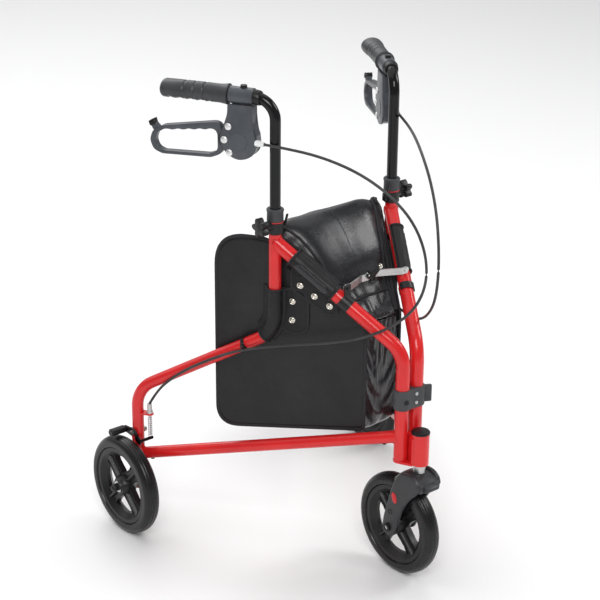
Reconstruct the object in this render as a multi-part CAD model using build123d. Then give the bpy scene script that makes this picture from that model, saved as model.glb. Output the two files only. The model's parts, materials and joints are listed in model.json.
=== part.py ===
from build123d import *
import os
from math import atan2, cos, degrees, pi, radians, sin, tan

# Folding three-wheeled walker, in millimetres. +Z is up, the user walks towards -Y and the
# user's left is +X. The origin is the middle of the footprint, on the floor.
# Each side frame is drawn flat, with X pointing outboard, Y running back from the front post
# and Z up. The left one is turned and moved into place and the right one is its mirror image.

# Layout
frame_angle = 30.0          # each side frame from the middle plane, opened out
post_spacing = 32.2         # between the two front post axes
riser_s = 236.4             # front post to the upright that carries the handle
rear_s = 508.0              # front post to the upright that carries the rear wheel
post_bottom = 234.3
diagonal_bend_z = 437.0
diagonal_top_z = 608.0
riser_top_z = 665.0
riser_bend_z = 439.5
rear_bend_z = 283.0
bottom_tube_front_z = 277.8
bottom_tube_rear_z = 149.6
grip_z = 860.5
handle_end_s = 436.0
handle_bottom_z = 528.0

# Tubes
post_od = 25.0
post_wall = 1.5
riser_od = 22.0
riser_wall = 1.4
handle_od = 19.0
handle_wall = 1.5
post_bend_radius = 58.0
riser_bend_radius = 62.0
handle_bend_radius = 37.5

# Wheels
wheel_radius = 95.0
tyre_width = 31.5
tyre_seat_radius = 74.0
rim_width = 26.0
rim_inner_radius = 65.0
hub_radius = 16.0
hub_width = 33.0
bearing_od = 22.0
bearing_bore = 8.0
bearing_width = 7.0
rear_wheel_offset = 32.0    # rear upright axis to wheel centre, along the axle
spoke_width = 20.0
spoke_depth = 18.0

# Caster head
head_y = -32.5              # head tube axis, forward of the post axes
head_od = 32.0
head_wall = 3.0
head_bottom = 232.8
head_top = 292.0
caster_trail = 46.5
crown_top = 217.0
fork_gap = 40.0
fork_leg = 8.0
stem_radius = 6.0
web_top = 284.0

# Strap hinge round the two posts
strap_bottom = 332.0
strap_top = 369.0
strap_wall = 3.2

# Handle fittings
grip_front_s = 319.0
grip_radius = 15.5
housing_front_s = 274.0
housing_half = 13.5
housing_slot_half = 8.6
lever_half = 8.0
lever_pivot = (324.0, 784.0)
rivet_radius = 3.0
rivet_head = 5.2
collar_bottom = 624.0
collar_top = 669.0
collar_radius = 14.6
knob_z = 640.0
knob_inner = 25.0
knob_thickness = 14.0
knob_radius = 17.5
knob_stud_radius = 4.0

# Brake on the rear wheel
brake_pivot = (-2.0, 197.0)
brake_shoe = (22.0, 196.6)
brake_shoe_radius = 6.0
brake_anchor = (-22.0, 186.0)
brake_eye = 8.0                # radius of the arm round its pivot
brake_pin = 3.0
brake_arm_inner = riser_od / 2 + 1
brake_arm_thickness = 3.0
tab_s = rear_s - 24.5
tab_z = 234.0
tab_thickness = 3.0
cable_radius = 2.5

# Folding link
link_s = 106.0
link_z = 541.0
link_back = 18.0            # the middle joint sits this far behind the outer ones
link_width = 12.0
link_thickness = 3.0
link_pin_radius = 2.5
link_head_radius = 4.0
saddle_s = 99.0             # the left one stays clear of the open joint above it
saddle_width = 13.0
right_saddle_s = 106.0
right_saddle_width = 20.0
saddle_wall = 2.5

# Bag
bag_front_s = 74.0
bag_rear_s = 353.0
bag_front_bottom = 271.0
bag_rear_bottom = 232.0
bag_top = 607.0
rear_wall_top = 545.0
bag_inset = 13.4            # tube plane to the outer face of a side panel
bag_wall = 2.5
bag_below_diagonal = 17.5   # straight down from the diagonal's axis to the panel's edge
bag_gap = 0.4
flap_front_lift = -17.5       # the flap over the diagonal's axis, at its front edge
flap_profile = [(128.0, -7.6), (142.0, 8.0), (160.0, 28.0), (188.0, 34.0), (215.0, 36.0),
                (240.0, 27.0), (262.0, 8.0)]
panel_rear_radius = 60.0
panel_low_radius = 36.0
upright_sleeve = (472.0, 522.0)
diagonal_sleeve = (126.0, 194.0)
stud_places = (136.0, 160.0, 184.0)
stud_radius = 4.0
sleeve_wall = 1.8
sleeve_gap = 0.1

# Clearances
running = 0.05
face_gap = 0.3

a = radians(frame_angle)
half = post_spacing / 2
rear_y = rear_s * cos(a)
back_edge = rear_y + wheel_radius
wheel_front_y = head_y + caster_trail
front_edge = wheel_front_y - wheel_radius
front_y = -(back_edge + front_edge) / 2
diagonal_slope = (diagonal_top_z - diagonal_bend_z) / riser_s
diagonal_cos = cos(atan2(diagonal_slope, 1))
bottom_slope = (bottom_tube_rear_z - bottom_tube_front_z) / rear_s


def diagonal_z(s):
    """Height of the diagonal's axis at a distance s behind the post."""
    return diagonal_bend_z + diagonal_slope * s


def rod(start, end, radius, bore=0.0):
    """A round bar or a straight pipe between two points."""
    way = Vector(*end) - Vector(*start)
    section = Circle(radius) - Circle(bore) if bore else Circle(radius)
    return extrude(Plane(origin=start, z_dir=way) * section, amount=way.length)


def bent_tube(points, radii, outer, wall):
    """A tube along straight runs joined by arcs."""
    path = FilletPolyline(*points, radius=radii)
    section = Circle(outer / 2) - Circle(outer / 2 - wall)
    return sweep(Plane(origin=path @ 0, z_dir=path % 0) * section, path=path)


def side_plate(sketch, inner, outer):
    """A sketch drawn in Y and Z, given a thickness along X."""
    return extrude(Plane(origin=(inner, 0, 0), x_dir=(0, 1, 0), z_dir=(1, 0, 0)) * sketch,
                   amount=outer - inner)


def rounded(points, radius):
    """A polygon with all its corners rounded."""
    face = make_face(Polyline(*points, close=True))
    return fillet(face.vertices(), radius)


def left(shape):
    """Put a piece of the flat side frame in the left frame."""
    return Pos(half, front_y, 0) * Rot(0, 0, -frame_angle) * shape


def at_rear(shape):
    """Put a piece drawn about the rear upright, square to the wheel, in the flat frame."""
    return Pos(0, rear_s, 0) * Rot(0, 0, frame_angle) * shape


def at_riser(shape):
    """Put a piece drawn about the handle upright, with X across the walker, in the flat frame."""
    return Pos(0, riser_s, 0) * Rot(0, 0, frame_angle) * shape


def group(*pieces):
    """Separate solids that share one node."""
    solids = []
    for piece in pieces:
        solids += piece.solids()
    return Compound(children=solids)


# Side frame

def front_tube():
    path = [(0, 0, post_bottom), (0, 0, diagonal_bend_z), (0, riser_s, diagonal_top_z)]
    tube = bent_tube(path, post_bend_radius, post_od, post_wall)
    return tube - rod((0, riser_s, riser_bend_z), (0, riser_s, riser_top_z), riser_od / 2)


def riser_path():
    return [(0, riser_s, riser_top_z), (0, riser_s, riser_bend_z), (0, rear_s, rear_bend_z),
            (0, rear_s, wheel_radius - 14)]


def rear_tube():
    tube = bent_tube(riser_path(), riser_bend_radius, riser_od, riser_wall)
    tube -= at_rear(rod((-20, 0, wheel_radius), (20, 0, wheel_radius), bearing_bore / 2 - running))
    tube -= at_rear(rod((-20, *brake_pivot), (20, *brake_pivot), brake_pin))
    tube -= at_riser(rod((0, 0, knob_z), (20, 0, knob_z), knob_stud_radius + running))
    return tube


def bottom_tube():
    tube = rod((0, 0, bottom_tube_front_z), (0, rear_s, bottom_tube_rear_z),
               riser_od / 2, riser_od / 2 - riser_wall)
    tube -= rod((0, 0, post_bottom), (0, 0, diagonal_bend_z), post_od / 2)
    return tube - rod((0, rear_s, 80), (0, rear_s, rear_bend_z), riser_od / 2)


# Wheels, drawn with the axle along X through the origin

def wheel():
    rim = rod((-rim_width / 2, 0, 0), (rim_width / 2, 0, 0), tyre_seat_radius, rim_inner_radius)
    hub = rod((-hub_width / 2, 0, 0), (hub_width / 2, 0, 0), hub_radius)
    body = rim + hub
    middle = (rim_inner_radius + 1) / 2
    for turn in (45, 135, 225, 315):
        spoke = Pos(0, middle, 0) * Box(spoke_depth, rim_inner_radius + 1, spoke_width)
        for face in (-1, 1):
            pocket = Box(spoke_depth / 3, rim_inner_radius - hub_radius - 4, spoke_width - 7)
            spoke -= Pos(face * spoke_depth / 3, (rim_inner_radius + hub_radius) / 2, 0) * pocket
        body += Rot(turn, 0, 0) * spoke
    body -= rod((-hub_width, 0, 0), (hub_width, 0, 0), bearing_bore / 2 + 2)
    for face in (-1, 1):
        seat = face * (hub_width / 2 - bearing_width)
        body -= rod((seat, 0, 0), (face * hub_width, 0, 0), bearing_od / 2)
    return body


def tyre():
    depth = wheel_radius - tyre_seat_radius
    seat_half = rim_width / 2 - 1
    profile = Polyline((-seat_half, tyre_seat_radius), (seat_half, tyre_seat_radius),
                       (tyre_width / 2, tyre_seat_radius + 0.35 * depth))
    tread = ThreePointArc((tyre_width / 2, tyre_seat_radius + 0.35 * depth), (0, wheel_radius),
                          (-tyre_width / 2, tyre_seat_radius + 0.35 * depth))
    wall = Line((-tyre_width / 2, tyre_seat_radius + 0.35 * depth), (-seat_half, tyre_seat_radius))
    return revolve(make_face(profile + tread + wall), axis=Axis.X)


def wheel_bearings():
    races = []
    for face in (-1, 1):
        outer = face * hub_width / 2
        inner = face * (hub_width / 2 - bearing_width)
        races.append(rod((inner, 0, 0), (outer, 0, 0), bearing_od / 2, bearing_bore / 2))
    return group(*races)


def rear_axle():
    bolt = rod((-riser_od / 2 - 5, 0, 0), (56, 0, 0), bearing_bore / 2 - running)
    bolt += extrude(Plane(origin=(-riser_od / 2 - 5.5, 0, 0), z_dir=(1, 0, 0)) * RegularPolygon(7, 6),
                    amount=5.5)
    hub_face = rear_wheel_offset - hub_width / 2 - face_gap
    hub_back = rear_wheel_offset + hub_width / 2 + face_gap
    spacer = rod((0, 0, 0), (hub_face, 0, 0), 6.0, bearing_bore / 2 - running)
    spacer -= rod((0, 0, -20), (0, 0, 20), riser_od / 2)
    washer = rod((hub_back, 0, 0), (hub_back + 1.5, 0, 0), 10.0, bearing_bore / 2 - running)
    nut = extrude(Plane(origin=(hub_back + 1.5, 0, 0), z_dir=(1, 0, 0)) * RegularPolygon(7.5, 6),
                  amount=6)
    nut += Pos(hub_back + 7.5, 0, 0) * Sphere(6.2)
    nut -= rod((0, 0, 0), (56, 0, 0), bearing_bore / 2 - running)
    return group(bolt, spacer.solids().sort_by(Axis.X)[-1], washer, nut)


# Brake on each rear wheel, drawn about the rear upright with X along the axle

def brake_arm():
    inner = brake_arm_inner
    outer = inner + brake_arm_thickness
    front = make_hull((Pos(*brake_anchor) * Circle(5.5)).edges()
                      + (Pos(*brake_pivot) * Circle(brake_eye)).edges())
    back = make_hull((Pos(*brake_shoe) * Circle(brake_shoe_radius)).edges()
                     + (Pos(*brake_pivot) * Circle(brake_eye)).edges())
    arm = side_plate(front, inner, outer) + side_plate(back, inner, outer)
    far = rear_wheel_offset + tyre_width / 2
    arm += rod((inner, *brake_shoe), (far, *brake_shoe), brake_shoe_radius)
    arm += rod((-sin(a) * (rear_s - tab_s) - 4, *brake_anchor), (outer, *brake_anchor), brake_pin)
    return arm - rod((0, *brake_pivot), (30, *brake_pivot), brake_pin + running)


def brake_pivot_bolt():
    head = brake_arm_inner + brake_arm_thickness + face_gap
    shank = rod((-riser_od / 2 - 3, *brake_pivot), (head + 1, *brake_pivot), brake_pin)
    cap = rod((head, *brake_pivot), (head + 3, *brake_pivot), 5.0)
    nut = rod((-riser_od / 2 - 4, *brake_pivot), (-riser_od / 2, *brake_pivot), 5.0, brake_pin)
    nut -= rod((0, 0, 150), (0, 0, 250), riser_od / 2)
    return group(shank + cap, nut)


def cable_tab():
    """A plate welded to the rear upright that holds the cable's adjuster."""
    outline = make_hull((Pos(0, tab_s) * Circle(7)).edges() + (Pos(0, rear_s) * Circle(9)).edges())
    plate = extrude(Plane(origin=(0, 0, tab_z)) * outline, amount=tab_thickness)
    plate -= rod((0, rear_s, 200), (0, rear_s, 260), riser_od / 2)
    return plate - rod((0, tab_s, 200), (0, tab_s, 260), 3.0)


def cable_adjuster():
    top = tab_z + tab_thickness
    barrel = rod((0, tab_s, top), (0, tab_s, top + 5), 6.0)
    barrel += rod((0, tab_s, top + 5), (0, tab_s, cable_path()[-1][2]), 4.5)
    barrel += rod((0, tab_s, tab_z - 4), (0, tab_s, top), 3.0)
    return barrel - rod((0, tab_s, 200), (0, tab_s, 300), 1.0)


def brake_spring():
    bottom = brake_anchor[1] + 4.2
    height = tab_z - 5 - bottom
    coil = Helix(pitch=height / 9, height=height, radius=3.6)
    wire = sweep(Plane(origin=coil @ 0, z_dir=coil % 0) * Circle(0.8), path=coil)
    core = rod((0, 0, 0), (0, 0, height), 0.8)
    return Pos(0, tab_s, bottom) * group(wire, core)


# Handle

def handle_tube():
    path = [(0, riser_s, handle_bottom_z), (0, riser_s, grip_z), (0, handle_end_s, grip_z)]
    return bent_tube(path, handle_bend_radius, handle_od, handle_wall)


def grip():
    end = handle_end_s + 6
    start = grip_front_s
    bore = handle_od / 2
    profile = Polyline((bore, start), (grip_radius + 2.5, start), (grip_radius + 2.5, start + 3),
                       (grip_radius - 1, start + 22), (grip_radius, end - 8),
                       (grip_radius - 3, end), (0, end), (0, handle_end_s), (bore, handle_end_s),
                       close=True)
    body = revolve(make_face(profile), axis=Axis.Y)
    return Pos(0, 0, grip_z) * body


def housing_outline(shrink=0.0):
    low = Pos(298, 784) * Circle(33 - shrink)
    high = Pos(295.5, 832) * Rectangle(42 - 2 * shrink, 40)
    return make_hull(low.edges() + high.edges())


def brake_housing():
    body = side_plate(housing_outline(), -housing_half, housing_half)
    body += rod((0, housing_front_s, grip_z), (0, grip_front_s - 1, grip_z), housing_half + 1)
    slot = Pos(304, 785) * Rectangle(56, 66)
    body -= side_plate(slot, -housing_slot_half, housing_slot_half)
    body -= rod((0, 200, grip_z), (0, 400, grip_z), handle_od / 2)
    for place in lever_rivet_places():
        body -= rod((-30, *place), (30, *place), rivet_radius)
    return body


def lever_rivet_places():
    return [lever_pivot, (316.5, 808.0), (315.0, 762.0)]


def lever_fixings():
    pins = []
    for place in lever_rivet_places():
        pin = rod((-housing_half - 1, *place), (housing_half + 1, *place), rivet_radius)
        for face in (-1, 1):
            pin += rod((face * housing_half, *place), (face * (housing_half + 1.8), *place),
                       rivet_head)
        pins.append(pin)
    start = Vector(*cable_path()[0])
    way = (start - Vector(*cable_path()[1])).normalized()
    ferrule = rod(start, start + way * 14, 4.0)
    ferrule -= side_plate(housing_outline(), -housing_half, housing_half)
    screw = rod((0, 293, grip_z + housing_half + 1), (0, 293, grip_z + housing_half + 4), 4.5)
    ferrule = ferrule.solids().sort_by(Axis.Y)[0]
    return group(*pins, ferrule, screw)


def brake_lever():
    outer = rounded([(329, 812), (447, 793.5), (464, 768), (447, 744.5), (352, 747.5),
                     (329, 760)], 8)
    inner = rounded([(340, 799), (444, 787), (452, 768), (443, 751.5), (356, 754.5), (340, 762)], 7)
    root = Pos(*lever_pivot) * Circle(14)
    nub = Pos(455, 793) * Rot(0, 0, 35) * RectangleRounded(14, 9, 3)
    body = side_plate(outer + root + nub - inner, -lever_half, lever_half)
    return body - rod((-20, *lever_pivot), (20, *lever_pivot), rivet_radius + running)


def collar():
    body = rod((0, riser_s, collar_bottom), (0, riser_s, collar_top), collar_radius)
    body += at_riser(rod((0, 0, knob_z), (knob_inner - 4, 0, knob_z), 8.5))
    body -= rod((0, riser_s, 600), (0, riser_s, riser_top_z), riser_od / 2)
    body -= rod((0, riser_s, 600), (0, riser_s, 700), handle_od / 2 + 2 * running)
    return body - at_riser(rod((0, 0, knob_z), (40, 0, knob_z), knob_stud_radius + running))


def knob():
    lobe = knob_radius * 0.34
    star = Circle(knob_radius * 0.7)
    for turn in range(5):
        star += Rot(0, 0, 72 * turn) * Pos(knob_radius - lobe, 0) * Circle(lobe)
    body = extrude(Plane(origin=(knob_inner, 0, 0), z_dir=(1, 0, 0)) * star, amount=knob_thickness)
    body += rod((knob_inner - 3, 0, 0), (knob_inner, 0, 0), 7.0)
    body += rod((handle_od / 2 + 0.9, 0, 0), (knob_inner, 0, 0), knob_stud_radius)
    return at_riser(Pos(0, 0, knob_z) * body)


def cable_path():
    """The brake cable's route in the flat frame, from the lever housing to the adjuster."""
    route = [(11.5, 252, 783), (15, 196, 781), (17, 138, 773), (18, 80, 755), (20, 29, 727),
            (21, -13, 688), (21, -38, 636), (21, -43, 581), (21, -24, 529), (20, 18, 489),
            (19, 70, 460), (17, 130, 441), (16, 190, 428), (15.5, 250, 414), (15, 306, 397),
            (15, 358, 371), (15.5, 402, 345), (13.5, tab_s - 45.5, 316),
            (6.5, tab_s - 19.5, 288), (0, tab_s, tab_z + 22)]
    clear = riser_od / 2 - 11      # a thicker tube pushes the cable outboard
    return [route[0]] + [(n + clear, s, z) for n, s, z in route[1:-1]] + [route[-1]]


def cable_radii(points):
    radii = []
    for before, corner, after in zip(points, points[1:], points[2:]):
        first = Vector(*corner) - Vector(*before)
        second = Vector(*after) - Vector(*corner)
        turn = radians(first.get_angle(second))
        radii.append(0.45 * min(first.length, second.length) / tan(turn / 2))
    return radii


def brake_cable():
    points = cable_path()
    radii = cable_radii(points)
    path = FilletPolyline(*points, radius=radii)
    cable = sweep(Plane(origin=path @ 0, z_dir=path % 0) * Circle(cable_radius), path=path)
    drawn = pi * cable_radius ** 2 * path.length
    print("cable length", round(path.length, 1), "radii", [round(r) for r in radii])
    print("cable volume", round(cable.volume), "section times length", round(drawn))
    return cable - rod((0, tab_s, 200), (0, tab_s, points[-1][2]), 6.0)


# Folding link between the side frames

def link_saddle(middle_s, width):
    """A saddle clamped over the diagonal, square to it."""
    along = Vector(0, diagonal_cos, diagonal_cos * diagonal_slope)
    middle = Vector(0, middle_s, diagonal_z(middle_s))
    radius = post_od / 2
    band = rod(middle - along * (width / 2), middle + along * (width / 2),
               radius + saddle_wall, radius)
    keep = Pos(25 - radius + 1, middle_s, diagonal_z(middle_s)) * Box(50, 120, 120)
    return band & keep


def link_place(side):
    """The outer joint of the link on one side, in the walker's own frame."""
    return Vector(side * (half + link_s * sin(a)), front_y + link_s * cos(a), link_z)


def link_middle():
    return Vector(0, front_y + link_s * cos(a) + link_back, link_z)


def link_bar(side, depth):
    """A flat bar, stepped back from its outer joint to the middle one."""
    outer = link_place(side)
    middle = link_middle()
    thick = link_thickness
    y0 = outer.Y
    y1 = middle.Y + depth
    x0 = outer.X
    knee = side * 20
    eye = link_width / 2
    bar = Pos(x0, y0, link_z) * Rot(90, 0, 0) * Cylinder(eye, thick)
    bar += Pos(0, y1, link_z) * Rot(90, 0, 0) * Cylinder(eye, thick)
    heel = x0 - side * 9
    plan = make_face(Polyline((x0, y0 - thick / 2), (x0, y0 + thick / 2), (heel, y0 + thick / 2),
                              (knee, y1 + thick / 2), (0, y1 + thick / 2), (0, y1 - thick / 2),
                              (knee, y1 - thick / 2), (heel, y0 - thick / 2), close=True))
    bar += extrude(Plane(origin=(0, 0, link_z - eye)) * plan, amount=link_width)
    return bar


def right_link_parts():
    """The right bar, which the pin is welded to, and the pin."""
    outer = link_place(-1)
    bar = link_bar(-1, -link_thickness / 2 - face_gap / 2)
    hole = link_pin_radius + running
    bar -= rod((outer.X, outer.Y - 9, link_z), (outer.X, outer.Y + 9, link_z), hole)
    y = link_middle().Y
    end = link_thickness + face_gap / 2 + 2      # half the pin's length, over its heads
    pin = rod((0, y - end, link_z), (0, y + end, link_z), link_pin_radius)
    front_face = y - link_thickness - face_gap / 2
    back_face = y + link_thickness + face_gap
    pin += rod((0, y - end, link_z), (0, front_face, link_z), link_head_radius)
    pin += rod((0, back_face, link_z), (0, y + end, link_z), link_head_radius)
    return bar - pin, pin


def right_saddle():
    """The right saddle also carries the ear and the pin that the link turns on."""
    band = mirror(left(link_saddle(right_saddle_s, right_saddle_width)), about=Plane.YZ)
    outer = link_place(-1)
    bar_front = outer.Y - link_thickness / 2 - face_gap
    bar_back = outer.Y + link_thickness / 2 + face_gap
    ear = Pos(outer.X, bar_front - 1.5, link_z - 8) * Box(13, 3, 30)
    ear -= mirror(left(rod((0, 0, diagonal_z(0)), (0, riser_s, diagonal_top_z), post_od / 2)),
                  about=Plane.YZ)
    pin = rod((outer.X, bar_front - 5, link_z), (outer.X, bar_back + 2, link_z), link_pin_radius)
    pin += rod((outer.X, bar_back, link_z), (outer.X, bar_back + 2, link_z), link_head_radius)
    ear = ear.solids().sort_by(Axis.Z)[-1]      # the part above the tube
    return band + ear + pin


def left_link_bar():
    outer = link_place(1)
    bar = link_bar(1, link_thickness / 2 + face_gap / 2)
    middle = link_middle()
    bar -= rod((0, middle.Y - 9, link_z), (0, middle.Y + 9, link_z), link_pin_radius + running)
    bar += rod((outer.X, outer.Y - 3, link_z), (outer.X, outer.Y + 3, link_z), link_head_radius)
    return bar


# Caster and head

def head_tube():
    return rod((0, head_y, head_bottom), (0, head_y, head_top), head_od / 2, head_od / 2 - head_wall)


def head_cap():
    cap = rod((0, head_y, head_top), (0, head_y, head_top + 2), head_od / 2 + 0.6)
    dome = Pos(0, head_y, head_top + 2) * Sphere(60)
    dome = Pos(0, 0, -56) * dome
    lens = rod((0, head_y, head_top + 2), (0, head_y, head_top + 10), head_od / 2 - 1)
    return cap + (lens & dome)


def head_bracket():
    """Web and base plate that join the right post to the head tube, with the left post's pivot."""
    way = Vector(half, head_y, 0)
    turn = degrees(atan2(way.Y, way.X))
    web_bottom = post_bottom - face_gap - 2
    web = Pos(-half / 2, head_y / 2, web_bottom) * Rot(0, 0, -turn) * Box(
        way.length, 6, web_top - web_bottom, align=(Align.CENTER, Align.CENTER, Align.MIN))
    corners = (Pos(-half, 0) * Circle(13)).edges() + (Pos(half, 0) * Circle(13)).edges()
    corners += (Pos(0, head_y) * Circle(13)).edges()
    plate_top = post_bottom - face_gap
    base = extrude(Plane(origin=(0, 0, plate_top - 4)) * make_hull(corners), amount=4)
    spigot_radius = post_od / 2 - post_wall - running
    spigot = rod((half, 0, plate_top - 1), (half, 0, plate_top + 24), spigot_radius)
    stub = rod((-half, 0, plate_top - 1), (-half, 0, plate_top + 10), post_od / 2 - post_wall)
    body = web + base
    for place in (-half, half):
        body -= rod((place, 0, plate_top), (place, 0, 320), post_od / 2)
    body = body + spigot + stub
    return body - rod((0, head_y, 200), (0, head_y, 320), head_od / 2)


def strap_hinge():
    """A moulded strap that holds the two posts side by side."""
    outer = post_od / 2 + strap_wall
    circles = (Pos(-half, 0) * Circle(outer)).edges() + (Pos(half, 0) * Circle(outer)).edges()
    outline = make_hull(circles)
    outline += Pos(half + outer, -5) * Rot(0, 0, -20) * RectangleRounded(12, 8, 2)
    body = extrude(Plane(origin=(0, 0, strap_bottom)) * outline, amount=strap_top - strap_bottom)
    body -= rod((-half, 0, 300), (-half, 0, 400), post_od / 2)
    return body - rod((half, 0, 300), (half, 0, 400), post_od / 2 + running)


def headset():
    """Two bearings in the head tube and the zinc spacer under it."""
    bore = head_od / 2 - head_wall
    low = rod((0, head_y, head_bottom), (0, head_y, head_bottom + 8), bore, stem_radius + running)
    high = rod((0, head_y, 272), (0, head_y, 280), bore, stem_radius + running)
    return group(low, high)


def caster_stem():
    stem = rod((0, head_y, crown_top - 14), (0, head_y, 288), stem_radius)
    nut = extrude(Plane(origin=(0, head_y, 280 + face_gap)) * RegularPolygon(10, 6), amount=6)
    nut -= rod((0, head_y, 270), (0, head_y, 300), stem_radius)
    spacer = rod((0, head_y, crown_top), (0, head_y, head_bottom - face_gap), 11.0, stem_radius)
    return group(stem, nut, spacer)


def caster_fork():
    wy = wheel_front_y
    leg = rounded([(-62, 200), (-50, crown_top), (-12, crown_top), (8, 196), (16, 150),
                   (wy + 15, 104), (wy + 10, 80), (wy - 10, 80), (wy - 17, 104), (-18, 140),
                   (-46, 178)], 6)
    inner = fork_gap / 2
    body = side_plate(leg, inner, inner + fork_leg) + side_plate(leg, -inner - fork_leg, -inner)
    crown = rounded([(-62, 200), (-50, crown_top), (-12, crown_top), (6, 200), (-2, 195.5),
                     (-56, 195.5)], 2)
    body += side_plate(crown, -inner - fork_leg, inner + fork_leg)
    body -= rod((0, head_y, 190), (0, head_y, crown_top), stem_radius)
    return body - rod((-60, wy, wheel_radius), (60, wy, wheel_radius), bearing_bore / 2 - running)


def front_axle():
    outer = fork_gap / 2 + fork_leg
    gap = hub_width / 2 + face_gap
    bolt = rod((-outer - 1, 0, 0), (outer + 1, 0, 0), bearing_bore / 2 - running)
    for face in (-1, 1):
        bolt += rod((face * outer, 0, 0), (face * (outer + 4), 0, 0), 7.0)
        bolt += rod((face * gap, 0, 0), (face * fork_gap / 2, 0, 0), 6.0)
    return Pos(0, wheel_front_y, wheel_radius) * bolt


# Bag

def panel_outline():
    bottom_front = (bag_front_s, bag_front_bottom)
    top_front = (bag_front_s, diagonal_z(bag_front_s) - bag_below_diagonal)
    shoulder_s = riser_s + 20
    shoulder_z = min(bag_top, diagonal_z(shoulder_s) - bag_below_diagonal)
    edge = Polyline((bag_rear_s, bag_rear_bottom), bottom_front, top_front,
                    (shoulder_s, shoulder_z), (bag_rear_s, shoulder_z), close=True)
    face = make_face(edge)
    corners = face.vertices().sort_by(Axis.X)
    face = fillet(corners[-2:].sort_by(Axis.Y)[-1:], panel_rear_radius)
    low = face.vertices().sort_by(Axis.Y)[0]
    return fillet(low, panel_low_radius)


def bag_panel():
    """A side panel with two sleeves round the tubes and their press studs."""
    panel = side_plate(panel_outline(), -bag_inset - bag_wall, -bag_inset)
    low, high = upright_sleeve
    sleeve = sleeve_gap + sleeve_wall
    upright = rod((0, riser_s, low), (0, riser_s, high), riser_od / 2 + sleeve,
                  riser_od / 2 + sleeve_gap)
    front, back = diagonal_sleeve
    slant = rod((0, front, diagonal_z(front)), (0, back, diagonal_z(back)), post_od / 2 + sleeve,
                post_od / 2 + sleeve_gap)
    keep_out = Pos(-bag_inset - 20, 160, 540) * Box(40, 300, 300)
    pieces = [panel, upright - keep_out, slant - keep_out]
    outer = post_od / 2 + sleeve
    for s in stud_places:
        z = diagonal_z(s)
        pieces.append(rod((outer, s, z), (outer + 1.6, s, z), stud_radius))
    return group(*pieces)


def panel_corner(s, extra):
    """Where the inner face of the left side panel stands, in plan."""
    n = -bag_inset - bag_wall - extra
    return half + n * cos(a) + s * sin(a), front_y - n * sin(a) + s * cos(a)


def bag_pouch():
    """Front, bottom and rear walls of the bag, between the two side panels."""
    x1, y1 = panel_corner(bag_front_s, bag_gap)
    x2, y2 = panel_corner(bag_rear_s, bag_gap)
    plan = make_face(Polyline((x1, y1), (x2, y2), (-x2, y2), (-x1, y1), close=True))
    low = bag_rear_bottom - 5
    block = extrude(Plane(origin=(0, 0, low)) * plan, amount=330)
    profile_outer = panel_outline()
    profile_inner = offset(profile_outer, amount=-bag_wall)
    shell = side_plate(Pos(front_y, 0) * scale(profile_outer, (cos(a), 1, 1)), -400, 400)
    hollow = side_plate(Pos(front_y, 0) * scale(profile_inner, (cos(a), 1, 1)), -400, 400)
    walls = (block & shell) - hollow
    lid_z = diagonal_z(bag_front_s) - bag_below_diagonal - 4
    middle_y = front_y + riser_s * cos(a)
    walls -= Pos(0, middle_y - 300, lid_z + 300) * Box(900, 600, 600)
    walls -= Pos(0, middle_y + 299, rear_wall_top + 300) * Box(900, 600, 600)
    return walls.solids().sort_by(SortBy.VOLUME)[-1]


def flap_outline():
    """The flap seen from the side: under the link at the front, crowned behind it."""
    top = [(bag_front_s, diagonal_z(bag_front_s) + flap_front_lift)]
    top += [(s, diagonal_z(s) + lift) for s, lift in flap_profile]
    under = [(s, z - bag_wall) for s, z in reversed(top)]
    return make_face(Polyline(*top, *under, close=True))


def bag_flap():
    """The flap over the bag, between the two diagonals."""
    back_s = flap_profile[-1][0]
    x1, y1 = panel_corner(bag_front_s, bag_gap)
    x2, y2 = panel_corner(back_s, bag_gap)
    plan = make_face(Polyline((x1, y1), (x2, y2), (-x2, y2), (-x1, y1), close=True))
    block = extrude(Plane(origin=(0, 0, 400)) * plan, amount=300)
    sheet = side_plate(Pos(front_y, 0) * scale(flap_outline(), (cos(a), 1, 1)), -400, 400)
    return block & sheet


def wheel_set(prefix, place):
    """Wheel, tyre and bearings at one axle."""
    pieces = {"wheel": wheel(), "tyre": tyre(), "wheel_bearings": wheel_bearings()}
    return {prefix + name: place * piece for name, piece in pieces.items()}


def side_nodes():
    """Every piece of the left side, in the walker's own frame."""
    flat = {
        "front_tube": front_tube(), "rear_tube": rear_tube(), "bottom_tube": bottom_tube(),
        "axle": at_rear(Pos(0, 0, wheel_radius) * rear_axle()),
        "brake_arm": at_rear(brake_arm()), "brake_pivot_bolt": at_rear(brake_pivot_bolt()),
        "cable_tab": cable_tab(), "cable_adjuster": cable_adjuster(),
        "brake_spring": brake_spring(), "brake_cable": brake_cable(),
        "handle_tube": handle_tube(), "grip": grip(), "brake_housing": brake_housing(),
        "brake_lever": brake_lever(), "lever_fixings": lever_fixings(),
        "height_collar": collar(), "height_knob": knob(), "bag_panel": bag_panel(),
    }
    nodes = {name: left(piece) for name, piece in flat.items()}
    wheel_x = half + rear_s * sin(a) + rear_wheel_offset
    nodes.update(wheel_set("", Pos(wheel_x, front_y + rear_y, wheel_radius)))
    return nodes


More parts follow.
